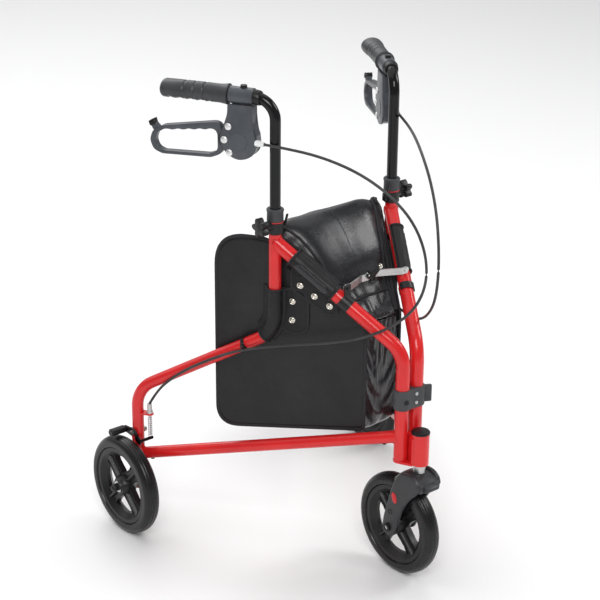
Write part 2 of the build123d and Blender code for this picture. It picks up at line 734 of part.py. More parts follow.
def all_nodes():
    nodes = {}
    for name, piece in side_nodes().items():
        nodes["left_" + name] = piece
        nodes["right_" + name] = mirror(piece, about=Plane.YZ)
    nodes["left_link_saddle"] = left(link_saddle(saddle_s, saddle_width))
    nodes["right_link_saddle"] = right_saddle()
    nodes["left_link_bar"] = left_link_bar()
    nodes["right_link_bar"], nodes["link_pin"] = right_link_parts()
    head = {"head_tube": head_tube(), "head_cap": head_cap(), "head_bracket": head_bracket(),
            "strap_hinge": strap_hinge(), "headset": headset(), "caster_stem": caster_stem(),
            "caster_fork": caster_fork(), "front_axle": front_axle()}
    head.update(wheel_set("front_", Pos(0, wheel_front_y, wheel_radius)))
    for name, piece in head.items():
        nodes[name] = Pos(0, front_y, 0) * piece
    nodes["bag_pouch"] = bag_pouch()
    nodes["bag_flap"] = bag_flap()
    return nodes


os.makedirs("parts", exist_ok=True)
for name, piece in all_nodes().items():
    export_step(piece, "parts/" + name + ".step")
    print(name, len(piece.solids()), round(piece.volume))
print("front_y", round(front_y, 3))
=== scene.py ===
import bpy
import bmesh
import json
from math import sin, cos, pi, radians, sqrt
from mathutils import Vector, Matrix, noise


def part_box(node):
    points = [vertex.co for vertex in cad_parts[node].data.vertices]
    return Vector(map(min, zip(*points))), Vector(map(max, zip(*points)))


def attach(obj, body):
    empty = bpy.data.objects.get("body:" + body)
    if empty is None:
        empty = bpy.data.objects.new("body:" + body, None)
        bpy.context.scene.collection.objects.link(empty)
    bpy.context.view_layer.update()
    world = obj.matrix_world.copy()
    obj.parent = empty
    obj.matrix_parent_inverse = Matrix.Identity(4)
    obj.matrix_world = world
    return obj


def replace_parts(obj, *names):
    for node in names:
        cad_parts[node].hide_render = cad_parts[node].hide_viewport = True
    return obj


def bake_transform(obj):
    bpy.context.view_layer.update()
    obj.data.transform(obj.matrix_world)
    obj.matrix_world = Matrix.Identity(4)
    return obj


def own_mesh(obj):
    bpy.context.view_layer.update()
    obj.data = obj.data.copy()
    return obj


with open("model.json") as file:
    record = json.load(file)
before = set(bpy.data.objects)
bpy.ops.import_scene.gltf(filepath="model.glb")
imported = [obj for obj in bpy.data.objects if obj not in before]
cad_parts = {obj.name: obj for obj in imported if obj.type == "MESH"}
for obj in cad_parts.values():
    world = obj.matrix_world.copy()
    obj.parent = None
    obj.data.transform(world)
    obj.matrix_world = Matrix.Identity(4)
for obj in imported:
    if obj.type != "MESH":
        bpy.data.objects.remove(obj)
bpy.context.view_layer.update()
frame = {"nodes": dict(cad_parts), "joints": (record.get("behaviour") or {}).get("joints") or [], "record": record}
nodes = frame["nodes"]
print("frame loaded,", len(nodes), "nodes")

# the fold joint stands on the left post, and each side frame opens 30 degrees from the middle
foldJoint = [j for j in frame["joints"] if j["name"] == "frame_fold"][0]
postX, frontY = foldJoint["pos_m"][0], foldJoint["pos_m"][1]
openAngle = radians(30)
sides = {"left": 1, "right": -1}

# camera, floor and light
cameraSetup = {"turn": -39.69, "tilt": 22.39, "distance": 3.188, "target": (0, 0.0714, 0.4347),
               "lens": 103.96, "roll": 0.46}


def makeCamera():
    c = cameraSetup
    turn, tilt = radians(c["turn"]), radians(c["tilt"])
    back = Vector((sin(turn) * cos(tilt), -cos(turn) * cos(tilt), sin(tilt)))
    data = bpy.data.cameras.new("camera")
    data.lens = c["lens"]
    data.sensor_width = 36
    data.clip_end = 50
    cam = bpy.data.objects.new("camera", data)
    bpy.context.scene.collection.objects.link(cam)
    cam.location = Vector(c["target"]) + back * c["distance"]
    look = back.to_track_quat("Z", "Y").to_matrix().to_4x4()
    cam.matrix_world = Matrix.Translation(cam.location) @ look @ Matrix.Rotation(radians(c["roll"]), 4, "Z")
    bpy.context.scene.camera = cam


studio = {"floorSize": 60, "sky": 0.30, "lights": [
    ((-2.2, -2.6, 3.2), 1.7, 86), ((2.8, -1.6, 2.6), 1.5, 50), ((0.5, 3.0, 3.4), 2.2, 40),
    ((0, 3.0, 5.5), 11, 330)]}


def makeStudio():
    bm = bmesh.new()
    bmesh.ops.create_grid(bm, x_segments=1, y_segments=1, size=studio["floorSize"] / 2)
    mesh = bpy.data.meshes.new("floor")
    bm.to_mesh(mesh)
    floor = bpy.data.objects.new("floor", mesh)
    bpy.context.scene.collection.objects.link(floor)
    mat = bpy.data.materials.new("paleFloor")
    mat.use_nodes = True
    shader = mat.node_tree.nodes["Principled BSDF"]
    shader.inputs["Base Color"].default_value = (0.93, 0.93, 0.935, 1)
    shader.inputs["Roughness"].default_value = 0.55
    mesh.materials.append(mat)
    world = bpy.data.worlds.new("studio")
    world.use_nodes = True
    world.node_tree.nodes["Background"].inputs[0].default_value = (1, 1, 1, 1)
    world.node_tree.nodes["Background"].inputs[1].default_value = studio["sky"]
    bpy.context.scene.world = world
    for i, (place, size, power) in enumerate(studio["lights"]):
        data = bpy.data.lights.new("softbox%d" % i, "AREA")
        data.size = size
        data.energy = power
        lamp = bpy.data.objects.new("softbox%d" % i, data)
        bpy.context.scene.collection.objects.link(lamp)
        aim = Vector(place) - Vector((0, 0, 0.45))
        lamp.matrix_world = Matrix.Translation(place) @ aim.to_track_quat("Z", "Y").to_matrix().to_4x4()
    bpy.context.scene.view_settings.view_transform = "Standard"


makeCamera()
makeStudio()


# materials
def startMaterial(name, color, roughness, metallic=0.0, coat=0.0, coatRoughness=0.1, specular=0.5):
    mat = bpy.data.materials.new(name)
    mat.use_nodes = True
    shader = mat.node_tree.nodes["Principled BSDF"]
    shader.inputs["Base Color"].default_value = (*color, 1)
    shader.inputs["Roughness"].default_value = roughness
    shader.inputs["Metallic"].default_value = metallic
    shader.inputs["Coat Weight"].default_value = coat
    shader.inputs["Coat Roughness"].default_value = coatRoughness
    shader.inputs["Specular IOR Level"].default_value = specular
    return mat, mat.node_tree.nodes, mat.node_tree.links, shader


def addNoise(n, links, scale, detail=4, stretch=None, rough=0.55):
    coords = n.new("ShaderNodeTexCoord")
    source = coords.outputs["Object"]
    if stretch:
        mapping = n.new("ShaderNodeMapping")
        mapping.inputs["Scale"].default_value = stretch
        links.new(source, mapping.inputs["Vector"])
        source = mapping.outputs["Vector"]
    tex = n.new("ShaderNodeTexNoise")
    tex.inputs["Scale"].default_value = scale
    tex.inputs["Detail"].default_value = detail
    tex.inputs["Roughness"].default_value = rough
    links.new(source, tex.inputs["Vector"])
    return tex.outputs["Fac"]


def addVoronoi(n, links, scale, feature="DISTANCE_TO_EDGE"):
    coords = n.new("ShaderNodeTexCoord")
    tex = n.new("ShaderNodeTexVoronoi")
    tex.feature = feature
    tex.inputs["Scale"].default_value = scale
    links.new(coords.outputs["Object"], tex.inputs["Vector"])
    return tex.outputs["Distance"]


def addRamp(n, links, source, stops):
    ramp = n.new("ShaderNodeValToRGB")
    while len(ramp.color_ramp.elements) < len(stops):
        ramp.color_ramp.elements.new(0.5)
    for element, (at, color) in zip(ramp.color_ramp.elements, stops):
        element.position = at
        element.color = (*color, 1) if len(color) == 3 else color
    links.new(source, ramp.inputs["Fac"])
    return ramp.outputs["Color"]


def addRange(n, links, source, low, high):
    node = n.new("ShaderNodeMapRange")
    node.inputs["To Min"].default_value = low
    node.inputs["To Max"].default_value = high
    links.new(source, node.inputs["Value"])
    return node.outputs["Result"]


def addBump(n, links, shader, source, strength, distance, before=None):
    bump = n.new("ShaderNodeBump")
    bump.inputs["Strength"].default_value = strength
    bump.inputs["Distance"].default_value = distance
    links.new(source, bump.inputs["Height"])
    if before:
        links.new(before, bump.inputs["Normal"])
    links.new(bump.outputs["Normal"], shader.inputs["Normal"])
    return bump.outputs["Normal"]


def paint(name, dark, light, roughness, specular=0.32):
    mat, n, links, shader = startMaterial(name, light, roughness, coat=0.25, coatRoughness=0.05,
                                          specular=specular)
    cloud = addNoise(n, links, 14, 3)
    links.new(addRamp(n, links, cloud, [(0.3, dark), (0.7, light)]), shader.inputs["Base Color"])
    links.new(addRange(n, links, addNoise(n, links, 60, 4), roughness * 0.8, roughness * 1.3),
              shader.inputs["Roughness"])
    addBump(n, links, shader, addNoise(n, links, 420, 2), 0.12, 0.0004)
    return mat


def metal(name, color, roughness, streak):
    mat, n, links, shader = startMaterial(name, color, roughness, metallic=1.0)
    dull = tuple(c * 0.82 for c in color)
    cloud = addNoise(n, links, 90, 5, stretch=streak)
    links.new(addRamp(n, links, cloud, [(0.35, dull), (0.65, color)]), shader.inputs["Base Color"])
    links.new(addRange(n, links, cloud, roughness * 0.7, roughness * 1.6), shader.inputs["Roughness"])
    addBump(n, links, shader, addNoise(n, links, 900, 2, stretch=streak), 0.1, 0.0002)
    return mat


def plastic(name, dark, light, roughness, grain=700, depth=0.0003):
    mat, n, links, shader = startMaterial(name, light, roughness, specular=0.34)
    cloud = addNoise(n, links, 22, 4)
    links.new(addRamp(n, links, cloud, [(0.3, dark), (0.72, light)]), shader.inputs["Base Color"])
    links.new(addRange(n, links, addNoise(n, links, 130, 4), roughness * 0.8, roughness * 1.25),
              shader.inputs["Roughness"])
    addBump(n, links, shader, addNoise(n, links, grain, 3), 0.25, depth)
    return mat


def vinyl(name, dark, light, roughness, grain, coat=0.1):
    mat, n, links, shader = startMaterial(name, light, roughness, coat=coat, coatRoughness=0.22,
                                          specular=0.30)
    links.new(addRamp(n, links, addNoise(n, links, 9, 5), [(0.3, dark), (0.75, light)]),
              shader.inputs["Base Color"])
    links.new(addRange(n, links, addNoise(n, links, 45, 5), roughness * 0.75, roughness * 1.35),
              shader.inputs["Roughness"])
    crease = addBump(n, links, shader, addNoise(n, links, 26, 6, rough=0.7), 0.35, 0.004)
    addBump(n, links, shader, addVoronoi(n, links, grain), 0.45, 0.0006, before=crease)
    return mat


def webbing(name, dark, light):
    mat, n, links, shader = startMaterial(name, light, 0.75, specular=0.3)
    coords = n.new("ShaderNodeTexCoord")
    height = None
    for direction in ("X", "Z"):
        wave = n.new("ShaderNodeTexWave")
        wave.bands_direction = direction
        wave.inputs["Scale"].default_value = 330
        wave.inputs["Distortion"].default_value = 0.6
        links.new(coords.outputs["Object"], wave.inputs["Vector"])
        if height is None:
            height = wave.outputs["Fac"]
            continue
        mix = n.new("ShaderNodeMath")
        mix.operation = "MAXIMUM"
        links.new(height, mix.inputs[0])
        links.new(wave.outputs["Fac"], mix.inputs[1])
        height = mix.outputs["Value"]
    links.new(addRamp(n, links, height, [(0.2, dark), (0.8, light)]), shader.inputs["Base Color"])
    addBump(n, links, shader, height, 0.5, 0.0005)
    return mat


redPaint = paint("redPaint", (0.62, 0.013, 0.015), (0.72, 0.019, 0.020), 0.22)
blackPaint = paint("blackPaint", (0.004, 0.004, 0.005), (0.007, 0.007, 0.008), 0.12, 0.15)
zincSteel = metal("zincSteel", (0.60, 0.60, 0.59), 0.27, (1, 1, 6))
springSteel = metal("springSteel", (0.66, 0.67, 0.69), 0.30, (1, 1, 1))
bearingSteel = metal("bearingSteel", (0.58, 0.59, 0.60), 0.22, (1, 1, 1))
blackPlastic = plastic("blackPlastic", (0.007, 0.007, 0.008), (0.014, 0.014, 0.015), 0.34)
strapPlastic = plastic("strapPlastic", (0.040, 0.041, 0.044), (0.062, 0.064, 0.068), 0.52)
charcoalPlastic = plastic("charcoalPlastic", (0.055, 0.060, 0.069), (0.082, 0.089, 0.101), 0.31)
gripRubber = plastic("gripRubber", (0.034, 0.035, 0.038), (0.055, 0.057, 0.062), 0.38, 500, 0.0005)
tyreRubber = plastic("tyreRubber", (0.007, 0.007, 0.008), (0.013, 0.013, 0.014), 0.28, 300, 0.0004)
cableSheath = plastic("cableSheath", (0.030, 0.030, 0.030), (0.055, 0.055, 0.056), 0.35)
whitePlastic = plastic("whitePlastic", (0.78, 0.79, 0.79), (0.88, 0.89, 0.89), 0.35)
forkPlastic = plastic("forkPlastic", (0.026, 0.027, 0.029), (0.042, 0.043, 0.046), 0.30)
redPlastic = plastic("redPlastic", (0.55, 0.015, 0.02), (0.70, 0.03, 0.035), 0.35)
sideVinyl = vinyl("sideVinyl", (0.006, 0.006, 0.007), (0.014, 0.014, 0.015), 0.44, 420)
glossVinyl = vinyl("glossVinyl", (0.008, 0.008, 0.010), (0.020, 0.021, 0.024), 0.27, 380, 0.35)
threadBlack = plastic("threadBlack", (0.020, 0.020, 0.021), (0.040, 0.040, 0.042), 0.6)
sleeveVinyl = vinyl("sleeveVinyl", (0.005, 0.005, 0.006), (0.011, 0.011, 0.012), 0.55, 700)
# rivet steel brightened to near white as painted highlight: a lighter copy of the zinc steel for where the lever
# rivets catch the light
paintedHighlightSteel = metal("paintedHighlightSteel", (0.90, 0.90, 0.91), 0.40, (1, 1, 1))
brassNickel = metal("brassNickel", (0.74, 0.70, 0.62), 0.14, (1, 1, 1))
bindingTape = webbing("bindingTape", (0.008, 0.008, 0.009), (0.030, 0.030, 0.033))

slotMaterials = {"red_paint": redPaint, "black_paint": blackPaint, "zinc_steel": zincSteel,
                 "spring_steel": springSteel, "bearing_steel": bearingSteel,
                 "black_plastic": blackPlastic, "charcoal_plastic": charcoalPlastic,
                 "grip_rubber": gripRubber, "tyre_rubber": tyreRubber,
                 "cable_sheath": cableSheath, "bag_vinyl": sideVinyl}


def dressNodes():
    for part in frame["record"]["subparts"]:
        mesh = nodes[part["node"]].data
        mesh.materials.clear()
        mesh.materials.append(slotMaterials[part["material_slot"]])


dressNodes()
print("materials done")


# small helpers for pieces
def sideMatrix(side):
    # X outboard, Y back along the side frame, Z up
    turn = Matrix.Rotation(-openAngle, 4, "Z")
    place = Matrix.Translation((postX, frontY, 0)) @ turn
    return place if side > 0 else Matrix.Scale(-1, 4, (1, 0, 0)) @ place


def finishPiece(name, bm, material, body, matrix=None, smooth=True, recalc=True, angle=40):
    if matrix is not None:
        bmesh.ops.transform(bm, matrix=matrix, verts=bm.verts)
    bmesh.ops.remove_doubles(bm, verts=bm.verts, dist=0.00001)
    if recalc:
        bmesh.ops.recalc_face_normals(bm, faces=bm.faces)
    for face in bm.faces:
        face.smooth = smooth
    for edge in bm.edges:
        if len(edge.link_faces) == 2 and edge.calc_face_angle(0) > radians(angle):
            edge.smooth = False
    mesh = bpy.data.meshes.new(name)
    bm.to_mesh(mesh)
    bm.free()
    mesh.materials.append(material)
    obj = bpy.data.objects.new(name, mesh)
    bpy.context.scene.collection.objects.link(obj)
    if body:
        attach(obj, body)
    return obj


def addWall(obj, thickness, offset, smoothing=0):
    # a cloth piece gets its thickness, after its surface is smoothed
    if smoothing:
        soft = obj.modifiers.new("soften", "SUBSURF")
        soft.levels = soft.render_levels = smoothing
    wall = obj.modifiers.new("wall", "SOLIDIFY")
    wall.thickness = thickness
    wall.offset = offset


def spinProfile(bm, points, axis, steps, cent=(0, 0, 0)):
    # points are (along the axis, radius), for an axis along X or Y
    verts = []
    for along, radius in points:
        co = (along, 0, radius) if axis == "X" else (0, along, radius)
        verts.append(bm.verts.new(Vector(co) + Vector(cent)))
    edges = [bm.edges.new(pair) for pair in zip(verts, verts[1:])]
    way = (1, 0, 0) if axis == "X" else (0, 1, 0)
    bmesh.ops.spin(bm, geom=verts + edges, cent=cent, axis=way, angle=2 * pi, steps=steps,
                   use_merge=True, use_duplicate=False)


def plateFrom(bm, outline, low, high, bevel=0.0, segments=2):
    # outline is (back, up) points, drawn in Y and Z and given its thickness along X
    verts = [bm.verts.new((low, p[0], p[1])) for p in outline]
    face = bm.faces.new(verts)
    made = bmesh.ops.extrude_face_region(bm, geom=[face])
    top = [v for v in made["geom"] if isinstance(v, bmesh.types.BMVert)]
    bmesh.ops.translate(bm, verts=top, vec=(high - low, 0, 0))
    if bevel:
        rims = set()
        for v in verts + top:
            for e in v.link_edges:
                if abs(e.verts[0].co.x - e.verts[1].co.x) < 1e-7:
                    rims.add(e)
        bmesh.ops.bevel(bm, geom=list(rims), offset=bevel, segments=segments, profile=0.5,
                        affect="EDGES", material=-1, offset_type="OFFSET", clamp_overlap=True)
    return verts


def roundedLoop(corners, radius, steps=6):
    # a closed outline with every corner turned into an arc
    points = []
    count = len(corners)
    for i in range(count):
        before, at, after = (Vector(corners[(i + k) % count]) for k in (-1, 0, 1))
        a, b = (before - at).normalized(), (after - at).normalized()
        half = a.angle(b) / 2
        reach = min(radius / max(sin(half) / cos(half), 0.05),
                    0.48 * min((before - at).length, (after - at).length))
        for k in range(steps + 1):
            t = k / steps
            p = (at + a * reach) * (1 - t) ** 2 + at * 2 * t * (1 - t) + (at + b * reach) * t ** 2
            points.append((p.x, p.y))
    return points


def evenLoop(points, count):
    # the same closed outline with evenly spaced points
    loop = [Vector(p) for p in points] + [Vector(points[0])]
    lengths = [(b - a).length for a, b in zip(loop, loop[1:])]
    total = sum(lengths)
    out, i, run = [], 0, 0.0
    for k in range(count):
        want = total * k / count
        while run + lengths[i] < want:
            run += lengths[i]
            i += 1
        t = (want - run) / lengths[i] if lengths[i] else 0
        out.append(tuple(loop[i].lerp(loop[i + 1], t)))
    return out


def smoothLine(points, count):
    # evenly spaced points along a soft line through the given ones
    line = []
    for i in range(len(points) - 1):
        p = [Vector(points[min(max(i + k, 0), len(points) - 1)]) for k in (-1, 0, 1, 2)]
        for k in range(12):
            t = k / 12
            line.append(0.5 * (2 * p[1] + (p[2] - p[0]) * t
                               + (2 * p[0] - 5 * p[1] + 4 * p[2] - p[3]) * t * t
                               + (3 * p[1] - p[0] - 3 * p[2] + p[3]) * t ** 3))
    line.append(Vector(points[-1]))
    lengths = [(b - a).length for a, b in zip(line, line[1:])]
    total, out, i, run = sum(lengths), [], 0, 0.0
    for k in range(count + 1):
        want = total * k / count
        while i < len(lengths) - 1 and run + lengths[i] < want:
            run += lengths[i]
            i += 1
        out.append(line[i].lerp(line[i + 1], min(1, (want - run) / lengths[i])))
    return out


def sweepTube(bm, path, radius, sidesCount=10, closed=False, squash=1.0, flatWay=None):
    # a round or oval bar along a list of points
    rings = []
    count = len(path)
    up = Vector((0, 0, 1))
    for i, p in enumerate(path):
        ahead = path[(i + 1) % count] if closed or i < count - 1 else p
        behind = path[i - 1] if closed or i > 0 else p
        way = (Vector(ahead) - Vector(behind)).normalized()
        flat = Vector(flatWay(p)) if flatWay else up
        across = way.cross(flat)
        if across.length < 1e-4:
            across = way.cross(Vector((1, 0, 0)))
        across.normalize()
        rise = across.cross(way).normalized()
        ring = bmesh.ops.create_circle(bm, segments=sidesCount, radius=radius, cap_ends=False)["verts"]
        turn = Matrix((across, rise * squash, way)).transposed().to_4x4()
        bmesh.ops.transform(bm, matrix=Matrix.Translation(p) @ turn, verts=ring)
        rings.append(ring)
    pairs = list(zip(rings, rings[1:]))
    if closed:
        pairs.append((rings[-1], rings[0]))
    for a, b in pairs:
        for k in range(sidesCount):
            q = (k + 1) % sidesCount
            bm.faces.new((a[k], a[q], b[q], b[k]))
    if not closed:
        bm.faces.new(list(reversed(rings[0])))
        bm.faces.new(rings[-1])


# brake cables, from the lever housings to the adjusters
cable = {"diameter": 0.005, "route": [
    (11.5, 252, 783), (15, 196, 781), (17, 138, 773), (18, 80, 755), (20, 29, 727),
    (21, -13, 688), (21, -38, 636), (21, -43, 581), (21, -24, 529), (20, 18, 489),
    (19, 70, 460), (17, 130, 441), (16, 190, 428), (15.5, 250, 414), (15, 306, 397),
    (15, 358, 371), (15.5, 402, 345), (13.5, 438, 316), (6.5, 464, 288), (0, 483.5, 256)]}


def makeCable(sideName):
    side = sides[sideName]
    place = sideMatrix(side)
    curve = bpy.data.curves.new(sideName + "BrakeCable", "CURVE")
    curve.dimensions = "3D"
    spline = curve.splines.new("NURBS")
    spline.points.add(len(cable["route"]) - 1)
    for point, (n, s, z) in zip(spline.points, cable["route"]):
        point.co = (*(place @ (Vector((n, s, z)) / 1000)), 1)
    spline.use_endpoint_u = True
    spline.order_u = 3
    spline.resolution_u = 8
    line = bpy.data.objects.new("cableLine", curve)
    bpy.context.scene.collection.objects.link(line)
    bpy.context.view_layer.update()
    traced = bpy.data.meshes.new_from_object(line)
    path = [v.co.copy() for v in traced.vertices]
    bpy.data.objects.remove(line)
    bm = bmesh.new()
    sweepTube(bm, path, cable["diameter"] / 2, 10)
    length = sum((b - a).length for a, b in zip(path, path[1:]))
    obj = finishPiece(sideName + "BrakeCable", bm, cableSheath, None)
    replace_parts(obj, sideName + "_brake_cable")
    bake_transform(obj)
    tuple(path[0])
    [tuple(p) for p in path]
    return obj


for sideName in sides:
    makeCable(sideName)
print("cables done")


# wheels and tyres
tyreShape = {"radius": 0.095, "seat": 0.074, "width": 0.0315, "seatWidth": 0.025,
             "grooves": (0.0042, 0.0105)}
wheelShape = {"rimHalf": 0.0130, "lip": 0.0745, "well": 0.0655, "web": 0.0565, "hub": 0.016,
              "hubHalf": 0.0163, "spokeWide": 0.031, "spokeThin": 0.026, "spokeDeep": 0.0190}


def tyreProfile():
    t = tyreShape
    wall = t["seat"] + 0.35 * (t["radius"] - t["seat"])
    points = [(-t["seatWidth"] / 2, t["seat"]), (-t["width"] / 2 + 0.0004, t["seat"] + 0.002)]
    for k in range(41):
        turn = pi * k / 40
        x = -cos(turn) * t["width"] / 2
        r = wall + (t["radius"] - wall) * sin(turn) ** 0.9
        for g in t["grooves"]:
            if abs(abs(x) - g) < 0.0006:
                r -= 0.0007
        points.append((x, r))
    return points + [(t["width"] / 2 - 0.0004, t["seat"] + 0.002), (t["seatWidth"] / 2, t["seat"])]


def makeTyre(name, centre, body, node):
    bm = bmesh.new()
    profile = tyreProfile()
    spinProfile(bm, profile + [profile[0]], "X", 112)
    obj = finishPiece(name, bm, tyreRubber, body, Matrix.Translation(centre))
    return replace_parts(obj, node)


def addSpoke(bm, turn):
    # a blade with a ridge down the middle of each face, wider at the hub
    w = wheelShape
    loops, ends = [], []
    for share in (0, 0.12, 0.3, 0.55, 0.8, 1):
        along = w["hub"] - 0.002 + (w["well"] + 0.0005 - w["hub"] + 0.002) * share
        wide = (w["spokeWide"] + (w["spokeThin"] - w["spokeWide"]) * min(1, share * 1.5)) / 2
        wide += 0.009 * max(0, share - 0.5) ** 2 * 4
        deep, thin, rib = w["spokeDeep"] / 2, 0.0036, 0.0017
        section = [(deep, rib), (deep - 0.0008, rib + 0.0006), (thin, rib + 0.0022),
                   (thin, wide - 0.002), (deep * 0.62, wide - 0.001),
                   (deep * 0.62, wide), (-deep * 0.62, wide), (-deep * 0.62, wide - 0.001),
                   (-thin, wide - 0.002), (-thin, rib + 0.0022),
                   (-deep + 0.0008, rib + 0.0006), (-deep, rib)]
        section += [(x, -z) for x, z in reversed(section)]
        ring = [bm.verts.new((x, along, z)) for x, z in section]
        loops.append([bm.edges.new(pair) for pair in zip(ring, ring[1:] + ring[:1])])
        ends.append(ring)
    for a, b in zip(loops, loops[1:]):
        bmesh.ops.bridge_loops(bm, edges=a + b)
    bm.faces.new(ends[0])
    bm.faces.new(ends[-1])
    bmesh.ops.rotate(bm, verts=[v for ring in ends for v in ring], cent=(0, 0, 0),
                     matrix=Matrix.Rotation(turn, 3, "X"))


def makeWheel(name, centre, body, node):
    w = wheelShape
    bm = bmesh.new()
    for k in range(4):
        addSpoke(bm, radians(45 + 90 * k))
    h = w["rimHalf"]
    rim = [(-h, w["well"] + 0.001), (-h, w["lip"] - 0.001), (-h + 0.001, w["lip"]), (h - 0.001, w["lip"]),
           (h, w["lip"] - 0.001), (h, w["well"] + 0.001), (h - 0.001, w["well"]), (0.0035, w["web"]),
           (-0.0035, w["web"]), (-h + 0.001, w["well"])]
    spinProfile(bm, rim + [rim[0]], "X", 96)
    d = w["hubHalf"]
    hub = [(-d, 0.0112), (-d, w["hub"] - 0.0012), (-d + 0.0012, w["hub"]), (-0.0045, w["hub"] + 0.0055),
           (0.0045, w["hub"] + 0.0055), (d - 0.0012, w["hub"]), (d, w["hub"] - 0.0012), (d, 0.0112)]
    spinProfile(bm, hub + [hub[0]], "X", 48)
    obj = finishPiece(name, bm, blackPlastic, body, Matrix.Translation(centre))
    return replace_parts(obj, node)


def wheelCentre(node):
    low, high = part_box(node)
    return (low + high) / 2


for sideName in sides:
    middle = wheelCentre(sideName + "_tyre")
    makeTyre(sideName + "Tyre", middle, sideName + "_road_wheel", sideName + "_tyre")
    makeWheel(sideName + "Wheel", middle, sideName + "_road_wheel", sideName + "_wheel")
middle = wheelCentre("front_tyre")
makeTyre("frontTyre", middle, "caster_wheel", "front_tyre")
makeWheel("frontWheel", middle, "caster_wheel", "front_wheel")
print("wheels done")


# hand grips
grip = {"start": 0.319, "end": 0.442, "height": 0.8605, "radius": 0.0155, "flare": 0.0185, "bore": 0.0096,
        "ridges": (0.362, 0.380, 0.398), "ridgeDip": 0.0013, "palm": 0.30, "fingerDip": 0.0016}


def gripRadius(s):
    g = grip
    flare = (g["flare"] - g["radius"]) * max(0, 1 - (s - g["start"]) / 0.022) ** 2
    swell = 0.0009 * sin(pi * (s - g["start"]) / (g["end"] - g["start"]))
    dip = sum(g["ridgeDip"] * max(0, 1 - abs(s - r) / 0.0022) for r in g["ridges"])
    tail = g["end"] - s
    dome = g["radius"] * (1 - sqrt(max(0, 1 - (1 - min(tail / 0.007, 1)) ** 2))) if tail < 0.007 else 0
    return g["radius"] + flare + swell - dip - dome * 0.55


def makeGrip(sideName):
    g = grip
    profile = [(g["start"], g["bore"]), (g["start"], g["flare"] - 0.0012)]
    count = 110
    for k in range(count + 1):
        s = g["start"] + 0.0008 + (g["end"] - g["start"] - 0.0008) * k / count
        profile.append((s, gripRadius(s)))
    profile.append((g["end"], 0.00001))
    bm = bmesh.new()
    spinProfile(bm, profile, "Y", 56)
    for v in bm.verts:
        # finger waves on the underside and a palm swell on top
        under = max(0, -v.co.z / g["radius"])
        wave = cos(2 * pi * (v.co.y - 0.340) / 0.019)
        if 0.350 < v.co.y < 0.428:
            v.co.z += under * g["fingerDip"] * (0.5 - 0.5 * wave)
        palm = min(1, max(0, (v.co.y - 0.385) / 0.045))
        v.co.x *= 1 + g["palm"] * palm * palm * (3 - 2 * palm)
    matrix = sideMatrix(sides[sideName]) @ Matrix.Translation((0, 0, g["height"]))
    obj = finishPiece(sideName + "Grip", bm, gripRubber, sideName + "_handle", matrix,
                      angle=50)
    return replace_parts(obj, sideName + "_grip")


# brake housings, levers and their fixings
housing = {"outline": ((0.2740, 0.8470), (0.2738, 0.8280), (0.2712, 0.8060), (0.2668, 0.7860),
                       (0.2685, 0.7680), (0.2790, 0.7565), (0.2965, 0.7510), (0.3130, 0.7555),
                       (0.3265, 0.7680), (0.3315, 0.7840), (0.3290, 0.8000), (0.3235, 0.8150),
                       (0.3190, 0.8300), (0.3180, 0.8470)),
           "half": 0.0135, "ring": 0.0145, "slot": 0.0086, "disc": (0.2985, 0.7825, 0.0165),
           "rivets": ((0.324, 0.784), (0.3165, 0.808), (0.315, 0.762))}


def housingOutline():
    return [tuple(p) for p in smoothLine(housing["outline"], 90)]


